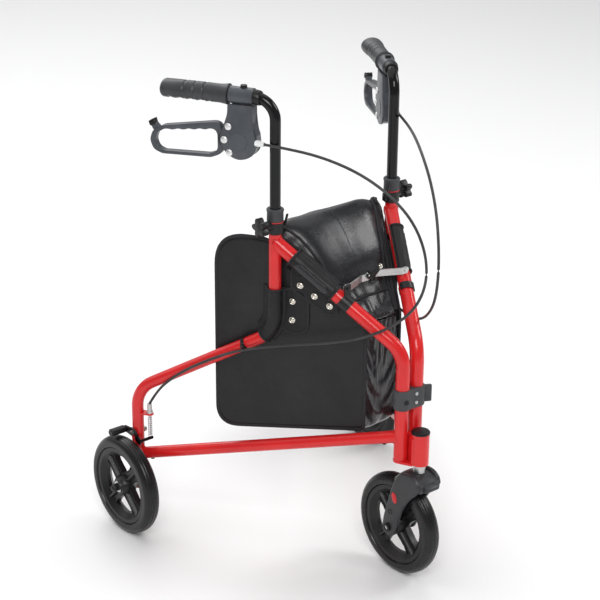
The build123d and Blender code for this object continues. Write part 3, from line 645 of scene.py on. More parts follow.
def makeHousing(sideName):
    h = housing
    body = sideName + "_handle"
    matrix = sideMatrix(sides[sideName])
    bm = bmesh.new()
    outline = housingOutline()
    for low, high in ((-h["half"], -h["slot"]), (h["slot"], h["half"])):
        plateFrom(bm, outline, low, high, bevel=0.0014, segments=3)
    front = [(0.2745, 0.845), (0.2745, 0.815), (0.2665, 0.795), (0.2662, 0.775), (0.273, 0.762),
             (0.284, 0.755),
             (0.290, 0.759), (0.280, 0.768), (0.2735, 0.785), (0.278, 0.800), (0.285, 0.815),
             (0.316, 0.826), (0.316, 0.845)]
    plateFrom(bm, roundedLoop(front, 0.003, 3), -h["slot"] - 0.001, h["slot"] + 0.001)
    s, z, r = h["disc"]
    for face in (-1, 1):
        ring = bmesh.ops.create_cone(bm, cap_ends=True, segments=48, radius1=r, radius2=r - 0.0006,
                                     depth=0.0012)
        bmesh.ops.rotate(bm, verts=ring["verts"], matrix=Matrix.Rotation(face * pi / 2, 3, "Y"))
        bmesh.ops.translate(bm, verts=ring["verts"], vec=(face * (h["half"] + 0.0002), s, z))
    ringProfile = [(0.274, 0.0096), (0.274, 0.0135), (0.275, h["ring"]), (0.3165, h["ring"] + 0.0003),
                   (0.318, 0.0135), (0.318, 0.0096)]
    spinProfile(bm, ringProfile, "Y", 56, cent=(0, 0, grip["height"]))
    obj = finishPiece(sideName + "BrakeHousing", bm, charcoalPlastic, body, matrix,
                      angle=35)
    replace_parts(obj, sideName + "_brake_housing")
    # black sleeve in front of the clamp ring, and the clamp screw on top
    bm = bmesh.new()
    sleeve = [(0.262, 0.0097), (0.262, 0.0118), (0.264, 0.0128), (0.274, 0.0130), (0.274, 0.0097)]
    spinProfile(bm, sleeve, "Y", 40, cent=(0, 0, grip["height"]))
    for v in bm.verts:
        v.co.z -= max(0, 0.274 - v.co.y) * 0.12
    boss = bmesh.ops.create_cone(bm, cap_ends=True, segments=28, radius1=0.0062, radius2=0.0056,
                                 depth=0.006)
    bmesh.ops.translate(bm, verts=boss["verts"], vec=(0, 0.293, grip["height"] + h["ring"] + 0.0012))
    finishPiece(sideName + "ClampSleeve", bm, blackPlastic, body, matrix)
    bm = bmesh.new()
    for s, z in h["rivets"]:
        for face in (-1, 1):
            head = bmesh.ops.create_uvsphere(bm, u_segments=28, v_segments=12, radius=0.0064)["verts"]
            for v in head:
                v.co.z *= 0.36
            bmesh.ops.rotate(bm, verts=head, matrix=Matrix.Rotation(pi / 2, 3, "Y"))
            bmesh.ops.translate(bm, verts=head, vec=(face * (h["half"] + 0.0004), s, z))
    # the lever rivets take the near-white steel, whose brightness is painted highlight
    rivets = finishPiece(sideName + "LeverRivets", bm, paintedHighlightSteel, body, matrix)
    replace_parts(rivets, sideName + "_lever_fixings")
    # white ferrule where the cable leaves
    bm = bmesh.new()
    start, nxt = Vector(cable["route"][0]) / 1000, Vector(cable["route"][1]) / 1000
    ferrule = [(0, 0.0027), (0, 0.0038), (0.002, 0.0044), (0.007, 0.0044), (0.007, 0.0054),
               (0.0125, 0.0056), (0.016, 0.0050), (0.016, 0.0001)]
    spinProfile(bm, ferrule, "Y", 28)
    turn = (start - nxt).to_track_quat("Y", "Z").to_matrix().to_4x4()
    finishPiece(sideName + "CableFerrule", bm, whitePlastic, body,
                matrix @ Matrix.Translation(start) @ turn)


lever = {"half": 0.0078, "pivot": (0.324, 0.784),
         "outer": ((0.331, 0.8135), (0.4400, 0.7950), (0.4600, 0.7840), (0.4655, 0.7670),
                   (0.4590, 0.7500), (0.4420, 0.7440), (0.352, 0.7475), (0.329, 0.757)),
         "inner": ((0.339, 0.8000), (0.4380, 0.7885), (0.4520, 0.7800), (0.4560, 0.7670),
                   (0.4510, 0.7545), (0.4400, 0.7500), (0.356, 0.7535), (0.339, 0.760)),
         "scallop": 0.0016, "count": 180}


def makeLever(sideName):
    c = lever
    bm = bmesh.new()
    outer = evenLoop(roundedLoop(c["outer"], 0.017, 10), c["count"])
    inner = evenLoop(roundedLoop(c["inner"], 0.013, 10), c["count"])
    loops = []
    for k, loop in enumerate((outer, inner)):
        ring = []
        for s, z in loop:
            # finger scallops along the upper inside edge
            if k == 1 and z > 0.780 and 0.352 < s < 0.432:
                z -= c["scallop"] * (0.5 - 0.5 * cos(2 * pi * (s - 0.352) / 0.020))
            ring.append(bm.verts.new((-c["half"], s, z)))
        loops.append([bm.edges.new((a, b)) for a, b in zip(ring, ring[1:] + ring[:1])])
    bmesh.ops.bridge_loops(bm, edges=loops[0] + loops[1])
    made = bmesh.ops.extrude_face_region(bm, geom=list(bm.faces))
    top = [v for v in made["geom"] if isinstance(v, bmesh.types.BMVert)]
    bmesh.ops.translate(bm, verts=top, vec=(2 * c["half"], 0, 0))
    bmesh.ops.recalc_face_normals(bm, faces=bm.faces)
    rims = [e for e in bm.edges if len(e.link_faces) == 2 and e.calc_face_angle(0) > radians(60)]
    bmesh.ops.bevel(bm, geom=rims, offset=0.0016, segments=3, profile=0.5, affect="EDGES", material=-1,
                    clamp_overlap=True)
    # root between the housing's walls, and the parking nub at the tip
    s, z = c["pivot"]
    root = [(s + 0.014 * cos(2 * pi * k / 32), z + 0.014 * sin(2 * pi * k / 32)) for k in range(32)]
    plateFrom(bm, root, -c["half"], c["half"])
    lug = [(0.4440, 0.7860), (0.4560, 0.7800), (0.4640, 0.7930), (0.4555, 0.7975)]
    plateFrom(bm, roundedLoop(lug, 0.003, 4), -c["half"] * 0.75, c["half"] * 0.75, bevel=0.0010)
    obj = finishPiece(sideName + "BrakeLever", bm, charcoalPlastic, sideName + "_lever",
                      sideMatrix(sides[sideName]), angle=35)
    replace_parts(obj, sideName + "_brake_lever")
    # ribbed button on the lever's tip
    bm = bmesh.new()
    button = roundedLoop([(0.4545, 0.7950), (0.4645, 0.7905), (0.4672, 0.7985), (0.4575, 0.8035)],
                         0.0028, 4)
    plateFrom(bm, button, -c["half"] * 0.95, c["half"] * 0.95, bevel=0.0012)
    for k in range(5):
        x = (k - 2) * 0.0030
        plateFrom(bm, [(0.4570, 0.8022), (0.4668, 0.7975), (0.4674, 0.7992), (0.4577, 0.8042)],
                  x - 0.0006, x + 0.0006)
    finishPiece(sideName + "LeverButton", bm, blackPlastic, sideName + "_lever",
                sideMatrix(sides[sideName]), angle=35)


for sideName in sides:
    makeGrip(sideName)
    makeHousing(sideName)
    makeLever(sideName)
print("handles done")


# shopping bag: side panels with their sleeves, a pouch between them and a flap over it
bag = {"front": 0.074, "rear": 0.353, "outer": -0.0136, "thick": 0.0022, "frontLow": 0.271,
       "rearLow": 0.232,
       "frontTop": 0.4730, "shoulder": 0.2564, "top": 0.6050, "ribbon": 0.0037, "wave": 0.0008,
       "flat": (0.279, 0.373), "area": 0.0857}


def diagonalZ(s):
    return 0.437 + 0.72335 * s


def panelOutline():
    b = bag
    corners = [((b["front"], b["frontLow"]), 0.006), ((b["front"], b["frontTop"]), 0.006),
               ((b["shoulder"], b["top"]), 0.03), ((b["rear"], b["top"]), 0.060),
               ((b["rear"], b["rearLow"]), 0.036)]
    points = []
    for i, (at, radius) in enumerate(corners):
        at = Vector(at)
        before, after = Vector(corners[i - 1][0]), Vector(corners[(i + 1) % len(corners)][0])
        a, b2 = (before - at).normalized(), (after - at).normalized()
        half = a.angle(b2) / 2
        reach = radius * cos(half) / sin(half)
        for k in range(11):
            t = k / 10
            points.append(tuple((at + a * reach) * (1 - t) ** 2 + at * 2 * t * (1 - t)
                                + (at + b2 * reach) * t ** 2))
    return evenLoop(points, 190)


def clothWave(s, z, seed):
    slow = noise.noise(Vector((s * 7, z * 7, seed)))
    fine = noise.noise(Vector((s * 31, z * 24, seed + 5)))
    return slow + 0.35 * fine


def ringFill(bm, outline, rings, place):
    # an outline drawn in ring by ring towards its middle, each point then lifted by place()
    cs = sum(p[0] for p in outline) / len(outline)
    cz = sum(p[1] for p in outline) / len(outline)
    ring = [bm.verts.new((0, s, z)) for s, z in outline]
    edges = [bm.edges.new(pair) for pair in zip(ring, ring[1:] + ring[:1])]
    inside = {v: 0.0 for v in ring}
    for k in range(1, rings):
        made = bmesh.ops.extrude_edge_only(bm, edges=edges)["geom"]
        ring = [v for v in made if isinstance(v, bmesh.types.BMVert)]
        inside.update({v: k / rings for v in ring})
        shrink = (rings - k) / (rings - k + 1)
        bmesh.ops.transform(bm, verts=ring, space=Matrix.Translation((0, -cs, -cz)),
                            matrix=Matrix.Diagonal((1, shrink, shrink, 1)))
        edges = [e for e in made if isinstance(e, bmesh.types.BMEdge)]
        edges = [e for e in edges if all(inside[v] == k / rings for v in e.verts)]
    bmesh.ops.contextual_create(bm, geom=edges)
    for v, depth in inside.items():
        v.co = place(v.co.y, v.co.z, depth)


def addStitches(bm, path, gap, lift, size=(0.0013, 0.00035)):
    # a row of short raised stitches along a path
    run = 0.0
    for a, b in zip(path, path[1:]):
        step = (b - a).length
        run += step
        if run < gap:
            continue
        run -= gap
        made = bmesh.ops.create_icosphere(bm, subdivisions=1, radius=1)["verts"]
        turn = (b - a).to_track_quat("Y", "Z").to_matrix().to_4x4()
        scale = Matrix.Diagonal((size[1], size[0], size[1], 1))
        bmesh.ops.transform(bm, matrix=Matrix.Translation(b + lift) @ turn @ scale, verts=made)


def makeSidePanel(sideName):
    b = bag
    matrix = sideMatrix(sides[sideName])
    body = sideName + "_frame"
    seed = 3.0 if sideName == "left" else 8.0
    outline = panelOutline()
    bm = bmesh.new()

    def place(s, z, inside):
        fade = min(1, inside * 6)
        sag = 0.0008 * sin(pi * min(1, max(0, (z - 0.24) / 0.12)))
        return (b["outer"] - 0.0008 + (b["wave"] * clothWave(s, z, seed) - sag) * fade, s, z)

    ringFill(bm, outline, 26, place)
    panel = finishPiece(sideName + "SidePanel", bm, sideVinyl, body, matrix, angle=60)
    addWall(panel, b["thick"], 0)
    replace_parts(panel, sideName + "_bag_panel")
    # bound edge with its row of stitches
    mid = b["outer"] - 0.0011
    path = [Vector((mid, s, z)) for s, z in outline]
    bm = bmesh.new()
    sweepTube(bm, path, b["ribbon"], 12, closed=True, squash=0.56, flatWay=lambda p: (1, 0, 0))
    finishPiece(sideName + "PanelBinding", bm, bindingTape, body, matrix, angle=60)
    bm = bmesh.new()
    inner = [Vector((mid, s + (0.213 - s) * 0.012, z + (0.42 - z) * 0.012)) for s,
             z in evenLoop(outline, 900)]
    for face in (-1, 1):
        addStitches(bm, inner + inner[:1], 0.0042, Vector((face * b["ribbon"] * 0.56, 0, 0)))
    finishPiece(sideName + "PanelStitches", bm, threadBlack, body, matrix, angle=60)
    return panel


sleeve = {"riser": 0.2364, "bendTop": 0.4753, "bendRadius": 0.062, "top": 0.5215, "bendEnd": 46,
          "radius": 0.0128,
          "slantRadius": 0.0143, "slant": (0.1265, 0.2020), "wall": 0.0016,
          "studs": ((0.2079, 0.4971), (0.2083, 0.4620)),
          "slantStuds": ((0.1936, 0.5291), (0.1670, 0.5130), (0.1390, 0.4985)), "studRadius": 0.0062}
diagonalWay = Vector((0, 1, 0.72335)).normalized()


def sleeveSection(radius, rearFoot, frontFoot):
    # round the tube from the panel behind it to the panel in front, as (out, along the panel)
    floor = bag["outer"] + 0.0013
    points = [(floor, rearFoot), (floor + 0.0004, rearFoot - (rearFoot - radius) * 0.55)]
    for k in range(33):
        turn = radians(128 - 256 * k / 32)
        points.append((radius * cos(turn), radius * sin(turn)))
    points += [(floor + 0.0004, -radius - (frontFoot - radius) * 0.45), (floor, -frontFoot)]
    return points


def addSleeve(bm, centres, frames, section, seed):
    rings = []
    for i, (centre, (out, along)) in enumerate(zip(centres, frames)):
        pucker = 0.0005 * noise.noise(Vector((i * 0.35, seed, 0)))
        ring = []
        for j, (n, t) in enumerate(section):
            wave = pucker + 0.0004 * noise.noise(Vector((j * 0.4, i * 0.3, seed)))
            grow = 1 + (wave / 0.013 if n > -0.010 else 0)
            ring.append(bm.verts.new(centre + out * n * grow + along * t * grow))
        rings.append([bm.edges.new(pair) for pair in zip(ring, ring[1:])])
    for a, b in zip(rings, rings[1:]):
        bmesh.ops.bridge_loops(bm, edges=a + b)


def addStud(bm, place, radius):
    profile = [(0, radius), (radius * 0.14, radius * 1.02), (radius * 0.26, radius * 0.93),
               (radius * 0.30, radius * 0.74),
               (radius * 0.26, radius * 0.68), (radius * 0.40, radius * 0.50),
               (radius * 0.46, radius * 0.25), (radius * 0.47, 0.00001)]
    before = set(bm.verts)
    spinProfile(bm, profile, "X", 28)
    bmesh.ops.translate(bm, verts=[v for v in bm.verts if v not in before], vec=place)


def makeSleeves(sideName):
    c = sleeve
    matrix = sideMatrix(sides[sideName])
    body = sideName + "_frame"
    bm = bmesh.new()
    out = Vector((1, 0, 0))
    # upright sleeve, which follows the tube round its bend
    centres, frames = [], []
    for k in range(17):
        z = c["top"] + (c["bendTop"] - c["top"]) * k / 16
        centres.append(Vector((0, c["riser"], z)))
        frames.append((out, Vector((0, 1, 0))))
    for k in range(1, 17):
        turn = radians(c["bendEnd"] * k / 16)
        centres.append(Vector((0, c["riser"] + c["bendRadius"] * (1 - cos(turn)),
                               c["bendTop"] - c["bendRadius"] * sin(turn))))
        frames.append((out, Vector((0, cos(turn), sin(turn)))))
    addSleeve(bm, centres, frames, sleeveSection(c["radius"], 0.0265, 0.019), 1.0)
    upEnds = (centres[0], centres[-1], frames[0], frames[-1])
    # diagonal sleeve, down to its tab
    centres, frames = [], []
    start, end = c["slant"]
    across = out.cross(diagonalWay)
    for k in range(21):
        s = start + (end - start) * k / 20
        centres.append(Vector((0, s, diagonalZ(s))))
        frames.append((out, across))
    addSleeve(bm, centres, frames, sleeveSection(c["slantRadius"], 0.017, 0.030), 4.0)
    addWall(finishPiece(sideName + "TubeSleeves", bm, sleeveVinyl, body, matrix, angle=60),
            c["wall"], 0)
    # tabs that carry the press studs
    floor = bag["outer"] + 0.0007
    upTab = [(0.232, 0.5205), (0.1790, 0.5205), (0.1790, 0.4370), (0.232, 0.4370)]
    slantTab = [(0.2115, 0.5640), (0.2110, 0.5205), (0.1380, 0.4790), (0.1245, 0.4890), (0.1265, 0.5240),
                (0.170, 0.5560)]
    bm = bmesh.new()
    edges = []
    for corners, radius in ((upTab, 0.026), (slantTab, 0.014)):
        loop = evenLoop(roundedLoop(corners, radius, 10), 90)
        plateFrom(bm, loop, floor, floor + 0.0020)
        edges.append([Vector((floor + 0.0015, p[0], p[1])) for p in loop])
    finishPiece(sideName + "StudTabs", bm, sleeveVinyl, body, matrix, angle=40)
    bm = bmesh.new()
    for path in edges:
        sweepTube(bm, path, 0.0026, 10, closed=True, squash=0.7, flatWay=lambda p: (1, 0, 0))
    # bound ends of both sleeves
    for centre, (o, along), radius in ((upEnds[0], upEnds[2], c["radius"]),
                                       (upEnds[1], upEnds[3], c["radius"]),
                                       (centres[0], frames[0], c["slantRadius"]),
                                       (centres[-1], frames[-1], c["slantRadius"])):
        ring = [centre + o * (radius + 0.0009) * cos(radians(t))
                + along * (radius + 0.0009) * sin(radians(t))
                for t in range(-124, 125, 8)]
        sweepTube(bm, ring, 0.0019, 8)
    finishPiece(sideName + "SleeveBindings", bm, bindingTape, body, matrix, angle=60)
    bm = bmesh.new()
    for path in edges:
        centre = sum(path, Vector()) / len(path)
        fine = [p + (centre - p) * 0.16 for p in path]
        full = [a.lerp(b, k / 6) for a, b in zip(fine, fine[1:] + fine[:1]) for k in range(6)]
        addStitches(bm, full + full[:1], 0.0040, Vector((0.0007, 0, 0)))
    finishPiece(sideName + "TabStitches", bm, threadBlack, body, matrix, angle=60)
    bm = bmesh.new()
    for s, z in c["studs"] + c["slantStuds"]:
        addStud(bm, (floor + 0.0020, s, z), c["studRadius"])
    finishPiece(sideName + "PressStuds", bm, brassNickel, body, matrix, angle=30)
    # glossy patch along the diagonal sleeve
    bm = bmesh.new()
    rings = []
    for k in range(25):
        s = start + 0.008 + (end - start - 0.016) * k / 24
        taper = min(1, (k + 2) / 5, (26 - k) / 5)
        ring = []
        for j in range(13):
            turn = radians(-8 + 52 * taper * (j / 12 - 0.5) * (1 if sideName == "left" else 1.15))
            r = c["slantRadius"] + 0.0013 + 0.0005 * noise.noise(Vector((k * 0.5, j * 0.6, 7)))
            ring.append(bm.verts.new(Vector((0, s, diagonalZ(s))) + out * r * cos(turn)
                                     + across * r * sin(turn)))
        rings.append([bm.edges.new(pair) for pair in zip(ring, ring[1:])])
    for a, b in zip(rings, rings[1:]):
        bmesh.ops.bridge_loops(bm, edges=a + b)
    addWall(finishPiece(sideName + "SleevePatch", bm, glossVinyl, body, matrix, angle=50),
            0.0009, 0)


for sideName in sides:
    makeSidePanel(sideName)
    makeSleeves(sideName)
print("side panels done")


flap = {"profile": ((0.0740, 0.4730), (0.100, 0.4960), (0.128, 0.5210), (0.142, 0.5440), (0.160, 0.5760),
                    (0.188, 0.6060), (0.215, 0.6280), (0.240, 0.6380), (0.262, 0.6345), (0.268, 0.618)),
        "edge": -0.0198, "crown": 0.009, "across": 70, "along": 56,
        "flat": (0.133, 0.280), "area": 0.0233}
pouch = {"profile": ((0.0752, 0.4722), (0.0745, 0.390), (0.0750, 0.300), (0.0900, 0.2720), (0.150, 0.2630),
                     (0.230, 0.2510), (0.315, 0.2400), (0.3450, 0.2570), (0.3500, 0.340), (0.3500, 0.440),
                     (0.3500, 0.545)), "edge": -0.0208, "across": 72, "along": 120,
         "flat": (0.173, 0.760), "area": 0.0861}


def rowPoint(s, share, z, edge):
    # a point between the two panels, share -1 on the right one and 1 on the left one
    left = sideMatrix(1) @ Vector((edge, s, 0))
    return Vector((left.x * share, left.y, z))


def softSheet(name, c, edge, shape, pinned, frames, strength):
    # a grid pinned at its edges and settled as cloth
    line = smoothLine(c["profile"], c["along"])
    bm = bmesh.new()
    bmesh.ops.create_grid(bm, x_segments=c["across"], y_segments=c["along"], size=0.5)
    group = []
    for v in bm.verts:
        share, run = v.co.x * 2, (v.co.y + 0.5) * c["along"]
        k = min(int(run + 1e-6), c["along"] - 1)
        s, z = line[k].lerp(line[k + 1], run - k)
        v.co = shape(s, share, z, run / c["along"], edge)
        if abs(share) > 0.999 or pinned(run / c["along"]):
            group.append(v.index)
    mesh = bpy.data.meshes.new(name)
    bm.to_mesh(mesh)
    bm.free()
    obj = bpy.data.objects.new(name, mesh)
    bpy.context.scene.collection.objects.link(obj)
    obj.vertex_groups.new(name="pinned").add(group, 1.0, "REPLACE")
    cloth = obj.modifiers.new("cloth", "CLOTH")
    clothSet = cloth.settings
    clothSet.quality = 6
    clothSet.mass = 0.35
    clothSet.tension_stiffness = clothSet.compression_stiffness = strength
    clothSet.shear_stiffness = strength * 0.6
    clothSet.bending_stiffness = 1.2
    clothSet.shrink_min = c.get("spare", -0.02)
    clothSet.vertex_group_mass = "pinned"
    clothSet.effector_weights.gravity = 0.35
    cloth.point_cache.frame_start, cloth.point_cache.frame_end = 1, frames
    for frameNumber in range(1, frames + 1):
        bpy.context.scene.frame_set(frameNumber)
    shown = obj.evaluated_get(bpy.context.evaluated_depsgraph_get())
    settled = [v.co.copy() for v in shown.data.vertices]
    obj.modifiers.clear()
    obj.vertex_groups.clear()
    limit = c.get("limit", 0.010)
    for v, to in zip(mesh.vertices, settled):
        move = to - v.co
        v.co += move if move.length < limit else move * (limit / move.length)
        # the sheet stays inside both side panels
        for side in (-1, 1):
            past = (v.co.x * side - postX) * cos(openAngle) - (v.co.y - frontY) * sin(openAngle) - edge
            if past > 0:
                v.co.x -= side * past / cos(openAngle)
    bpy.context.scene.frame_set(1)
    points = [v.co.copy() for v in mesh.vertices]
    bpy.data.objects.remove(obj)
    bpy.data.meshes.remove(mesh)
    return points


def halfSheet(name, points, c, sideName, material, thick, nodesHidden):
    # one half of the settled sheet, with its wall, on the frame that it is sewn to
    side = sides[sideName]
    bm = bmesh.new()
    bmesh.ops.create_grid(bm, x_segments=c["across"], y_segments=c["along"], size=0.5)
    bm.verts.ensure_lookup_table()
    for v, p in zip(bm.verts, points):
        v.co = p
    bmesh.ops.bisect_plane(bm, geom=bm.verts[:] + bm.edges[:] + bm.faces[:], dist=1e-6,
                                 plane_co=(0, 0, 0), plane_no=(-side, 0, 0), clear_outer=True)
    for v in bm.verts:
        if v.co.x * side < 0.0004:
            v.co.x = 0
    bmesh.ops.recalc_face_normals(bm, faces=bm.faces)
    up = sum((f.normal.z for f in bm.faces if abs(f.normal.z) > 0.3), 0.0)
    if up < 0:
        bmesh.ops.reverse_faces(bm, faces=bm.faces)
    obj = finishPiece(name, bm, material, sideName + "_frame", None, recalc=False, angle=180)
    addWall(obj, thick, -1, smoothing=1)
    foldIn(obj)
    if sideName == "right":
        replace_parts(obj, *nodesHidden)
    return obj


def foldIn(obj):
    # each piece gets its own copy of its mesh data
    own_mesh(obj)


def flapShape(s, share, z, run, edge):
    lift = flap["crown"] * (1 - abs(share) ** 3.2) * min(1, max(0, (s - 0.132) / 0.05))
    base = diagonalZ(s) - 0.0165 if s < 0.25 else 0.605
    drop = (z - base) * (abs(share) ** 9) * 0.62
    sway = 0.0016 * noise.noise(Vector((share * 3, s * 16, 2))) * (1 - share ** 8)
    if s < 0.135:
        # the front of the flap is creased like the gusset under it
        sway += 0.0045 * noise.noise(Vector((share * 4, s * 40, 6))) * (1 - share ** 4) * min(1,
                                                                                              (0.135
                                                                                               - s) * 60)
    return rowPoint(s, share, z + lift * 0.55 - drop + sway, edge)


def pouchShape(s, share, z, run, edge):
    # the walls belly out between the panels, and the vinyl is creased
    belly = (1 - share ** 4)
    front = max(0, 1 - run * 3.2)
    rear = max(0, (run - 0.62) / 0.38)
    crease = noise.noise(Vector((share * 2.6, run * 17, 4))) + 0.5 * noise.noise(Vector((share * 6,
                                                                                         run * 34, 9)))
    p = rowPoint(s, share, z, edge)
    p.y += belly * (-0.004 * front + 0.004 * rear) + 0.0042 * crease * belly * min(1, front * 2.5)
    p.z += -0.003 * belly * (1 - min(1, front + rear)) + 0.0010 * crease * belly
    return p


flapPoints = softSheet("flapCloth", flap, flap["edge"], flapShape,
                       lambda run: run < 0.001 or run > 0.999, 16, 12)
pouchPoints = softSheet("pouchCloth", pouch, pouch["edge"], pouchShape,
                        lambda run: run < 0.001 or run > 0.999, 16, 12)
for sideName in sides:
    halfSheet(sideName + "BagFlap", flapPoints, flap, sideName, glossVinyl, 0.0020, ("bag_flap",))
    halfSheet(sideName + "BagPouch", pouchPoints, pouch, sideName, glossVinyl, 0.0020, ("bag_pouch",))


def makePiping(sideName):
    # two bound seams along each side of the flap, and the welts of its front and back edges
    side = sides[sideName]
    columns = flap["across"] + 1
    rows = [flapPoints[k * columns:(k + 1) * columns] for k in range(flap["along"] + 1)]
    bm = bmesh.new()
    for column, radius in ((1, 0.0032), (4, 0.0026)):
        at = column if side < 0 else columns - 1 - column
        path = [row[at] + Vector((0, 0, 0.0018)) for row in rows[1:-1]]
        sweepTube(bm, path, radius, 10)
    hem = min(range(len(rows)),
              key=lambda k: abs(rows[k][columns // 2].y - frontY - 0.134 * cos(openAngle)))
    for row in (rows[hem], rows[-1]):
        half = [p for p in row if p.x * side > -1e-5]
        half.sort(key=lambda p: abs(p.x))
        half[0] = Vector((0, half[0].y, half[0].z))
        sweepTube(bm, half, 0.0030, 10)
    obj = finishPiece(sideName + "FlapPiping", bm, bindingTape, sideName + "_frame", None,
                      angle=60)
    foldIn(obj)


for sideName in sides:
    makePiping(sideName)
print("bag done")


# height collars, star knobs and their levers
collar = {"low": 0.624, "step": 0.6455, "high": 0.669, "radius": 0.0146, "bore": 0.0097, "knob": 0.640,
          "stud": 0.025, "lobes": 5, "lobe": 0.0068, "reach": 0.0112, "thick": 0.0130}


def riserMatrix(sideName):
    # drawn about the handle upright, X across the walker
    side = sides[sideName]
    turn = sideMatrix(1) @ Matrix.Translation((0, sleeve["riser"], 0)) @ Matrix.Rotation(openAngle, 4, "Z")
    return turn if side > 0 else Matrix.Scale(-1, 4, (1, 0, 0)) @ turn


def makeCollar(sideName):
    c = collar
    matrix = riserMatrix(sideName)
    body = sideName + "_frame"
    stand = Matrix.Rotation(pi / 2, 4, "X")
    r = c["radius"]
    bm = bmesh.new()
    upper = [(c["step"] + 0.0007, c["bore"]), (c["step"] + 0.0007, r - 0.0008), (c["step"] + 0.002, r),
             (c["high"] - 0.006, r - 0.0003), (c["high"] - 0.0045, r + 0.0006),
             (c["high"] - 0.0015, r + 0.0006),
             (c["high"], r - 0.001), (c["high"], c["bore"])]
    spinProfile(bm, upper + [upper[0]], "Y", 56)
    bmesh.ops.transform(bm, matrix=stand, verts=bm.verts)
    piece = finishPiece(sideName + "CollarSleeve", bm, strapPlastic, body, matrix)
    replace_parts(piece, sideName + "_height_collar")
    bm = bmesh.new()
    lower = [(c["low"], 0.0112), (c["low"], r - 0.0012), (c["low"] + 0.0012, r), (c["step"] - 0.0018, r),
             (c["step"] - 0.0007, r - 0.0012), (c["step"] - 0.0007, 0.0112)]
    spinProfile(bm, lower + [lower[0]], "Y", 56)
    bmesh.ops.transform(bm, matrix=stand, verts=bm.verts)
    # boss behind the knob, clamp ears and the small lever on the far side
    boss = [(0.011, 0.0045), (0.011, 0.0086), (0.0195, 0.0082), (0.0212, 0.0072), (0.0212, 0.0045)]
    spinProfile(bm, boss + [boss[0]], "X", 36, cent=(0, 0, c["knob"]))
    ear = roundedLoop([(-0.0045, 0.6275), (0.0045, 0.6275), (0.0045, 0.6425), (-0.0045, 0.6425)], 0.002, 3)
    plateFrom(bm, ear, -0.0185, -0.012, bevel=0.0008)
    tab = roundedLoop([(-0.006, 0.636), (-0.0025, 0.634), (-0.0105, 0.6585), (-0.0135, 0.6575)], 0.0015, 3)
    plateFrom(bm, tab, -0.0190, -0.0155, bevel=0.0007)
    finishPiece(sideName + "CollarClamp", bm, blackPlastic, body, matrix)
    bm = bmesh.new()
    line = [(c["step"] - 0.0007, r - 0.003), (c["step"] - 0.0007, r - 0.0002),
            (c["step"] + 0.0007, r - 0.0002),
            (c["step"] + 0.0007, r - 0.003)]
    spinProfile(bm, line + [line[0]], "Y", 56)
    bmesh.ops.transform(bm, matrix=stand, verts=bm.verts)
    finishPiece(sideName + "CollarLine", bm, redPlastic, body, matrix)


def makeKnob(sideName):
    c = collar
    bm = bmesh.new()
    star = []
    for k in range(120):
        turn = 2 * pi * k / 120
        wave = 0.5 + 0.5 * cos(c["lobes"] * turn)
        radius = c["reach"] - 0.0008 + c["lobe"] * wave ** 0.72
        star.append((radius * cos(turn), c["knob"] + radius * sin(turn)))
    plateFrom(bm, star, c["stud"], c["stud"] + c["thick"], bevel=0.0018, segments=3)
    cap = [(c["stud"] - 0.0030, 0.00001), (c["stud"] - 0.0030, 0.0066), (c["stud"] - 0.0022, 0.0072),
           (c["stud"], 0.0072), (c["stud"] + c["thick"], 0.0070), (c["stud"] + c["thick"] + 0.0012, 0.0058),
           (c["stud"] + c["thick"] + 0.0016, 0.0030), (c["stud"] + c["thick"] + 0.0014, 0.00001)]
    spinProfile(bm, cap, "X", 36, cent=(0, 0, c["knob"]))
    shank = [(0.0105, 0.00001), (0.0105, 0.0039), (c["stud"], 0.0039), (c["stud"], 0.00001)]
    spinProfile(bm, shank, "X", 24, cent=(0, 0, c["knob"]))
    knob = finishPiece(sideName + "HeightKnob", bm, blackPlastic, sideName + "_knob",
                       riserMatrix(sideName), angle=35)
    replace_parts(knob, sideName + "_height_knob")


for sideName in sides:
    makeCollar(sideName)
    makeKnob(sideName)
print("collars and knobs done")


# front fork with its crown, and the axle's caps
fork = {"axle": (0.014, 0.095), "gap": 0.0200, "leg": 0.0085,
        "outline": ((-0.0600, 0.1960), (-0.0560, 0.2080), (-0.0420, 0.2165), (-0.0220, 0.2165),
                    (-0.0080, 0.2085),
                    (0.0040, 0.1880), (0.0150, 0.1550), (0.0250, 0.1200), (0.0290, 0.0950),
                    (0.0250, 0.0820),
                    (0.0130, 0.0780), (0.0010, 0.0830), (-0.0070, 0.1000), (-0.0120, 0.1220),
                    (-0.0230, 0.1480), (-0.0380, 0.1700), (-0.0520, 0.1840)),
        "inlay": (-0.0010, 0.1600, 0.0060, 0.0100), "hex": (0.0085, 0.1290, 0.0042)}


def frontPlace(extra=(0, 0, 0)):
    return Matrix.Translation((0, frontY, 0)) @ Matrix.Translation(extra)


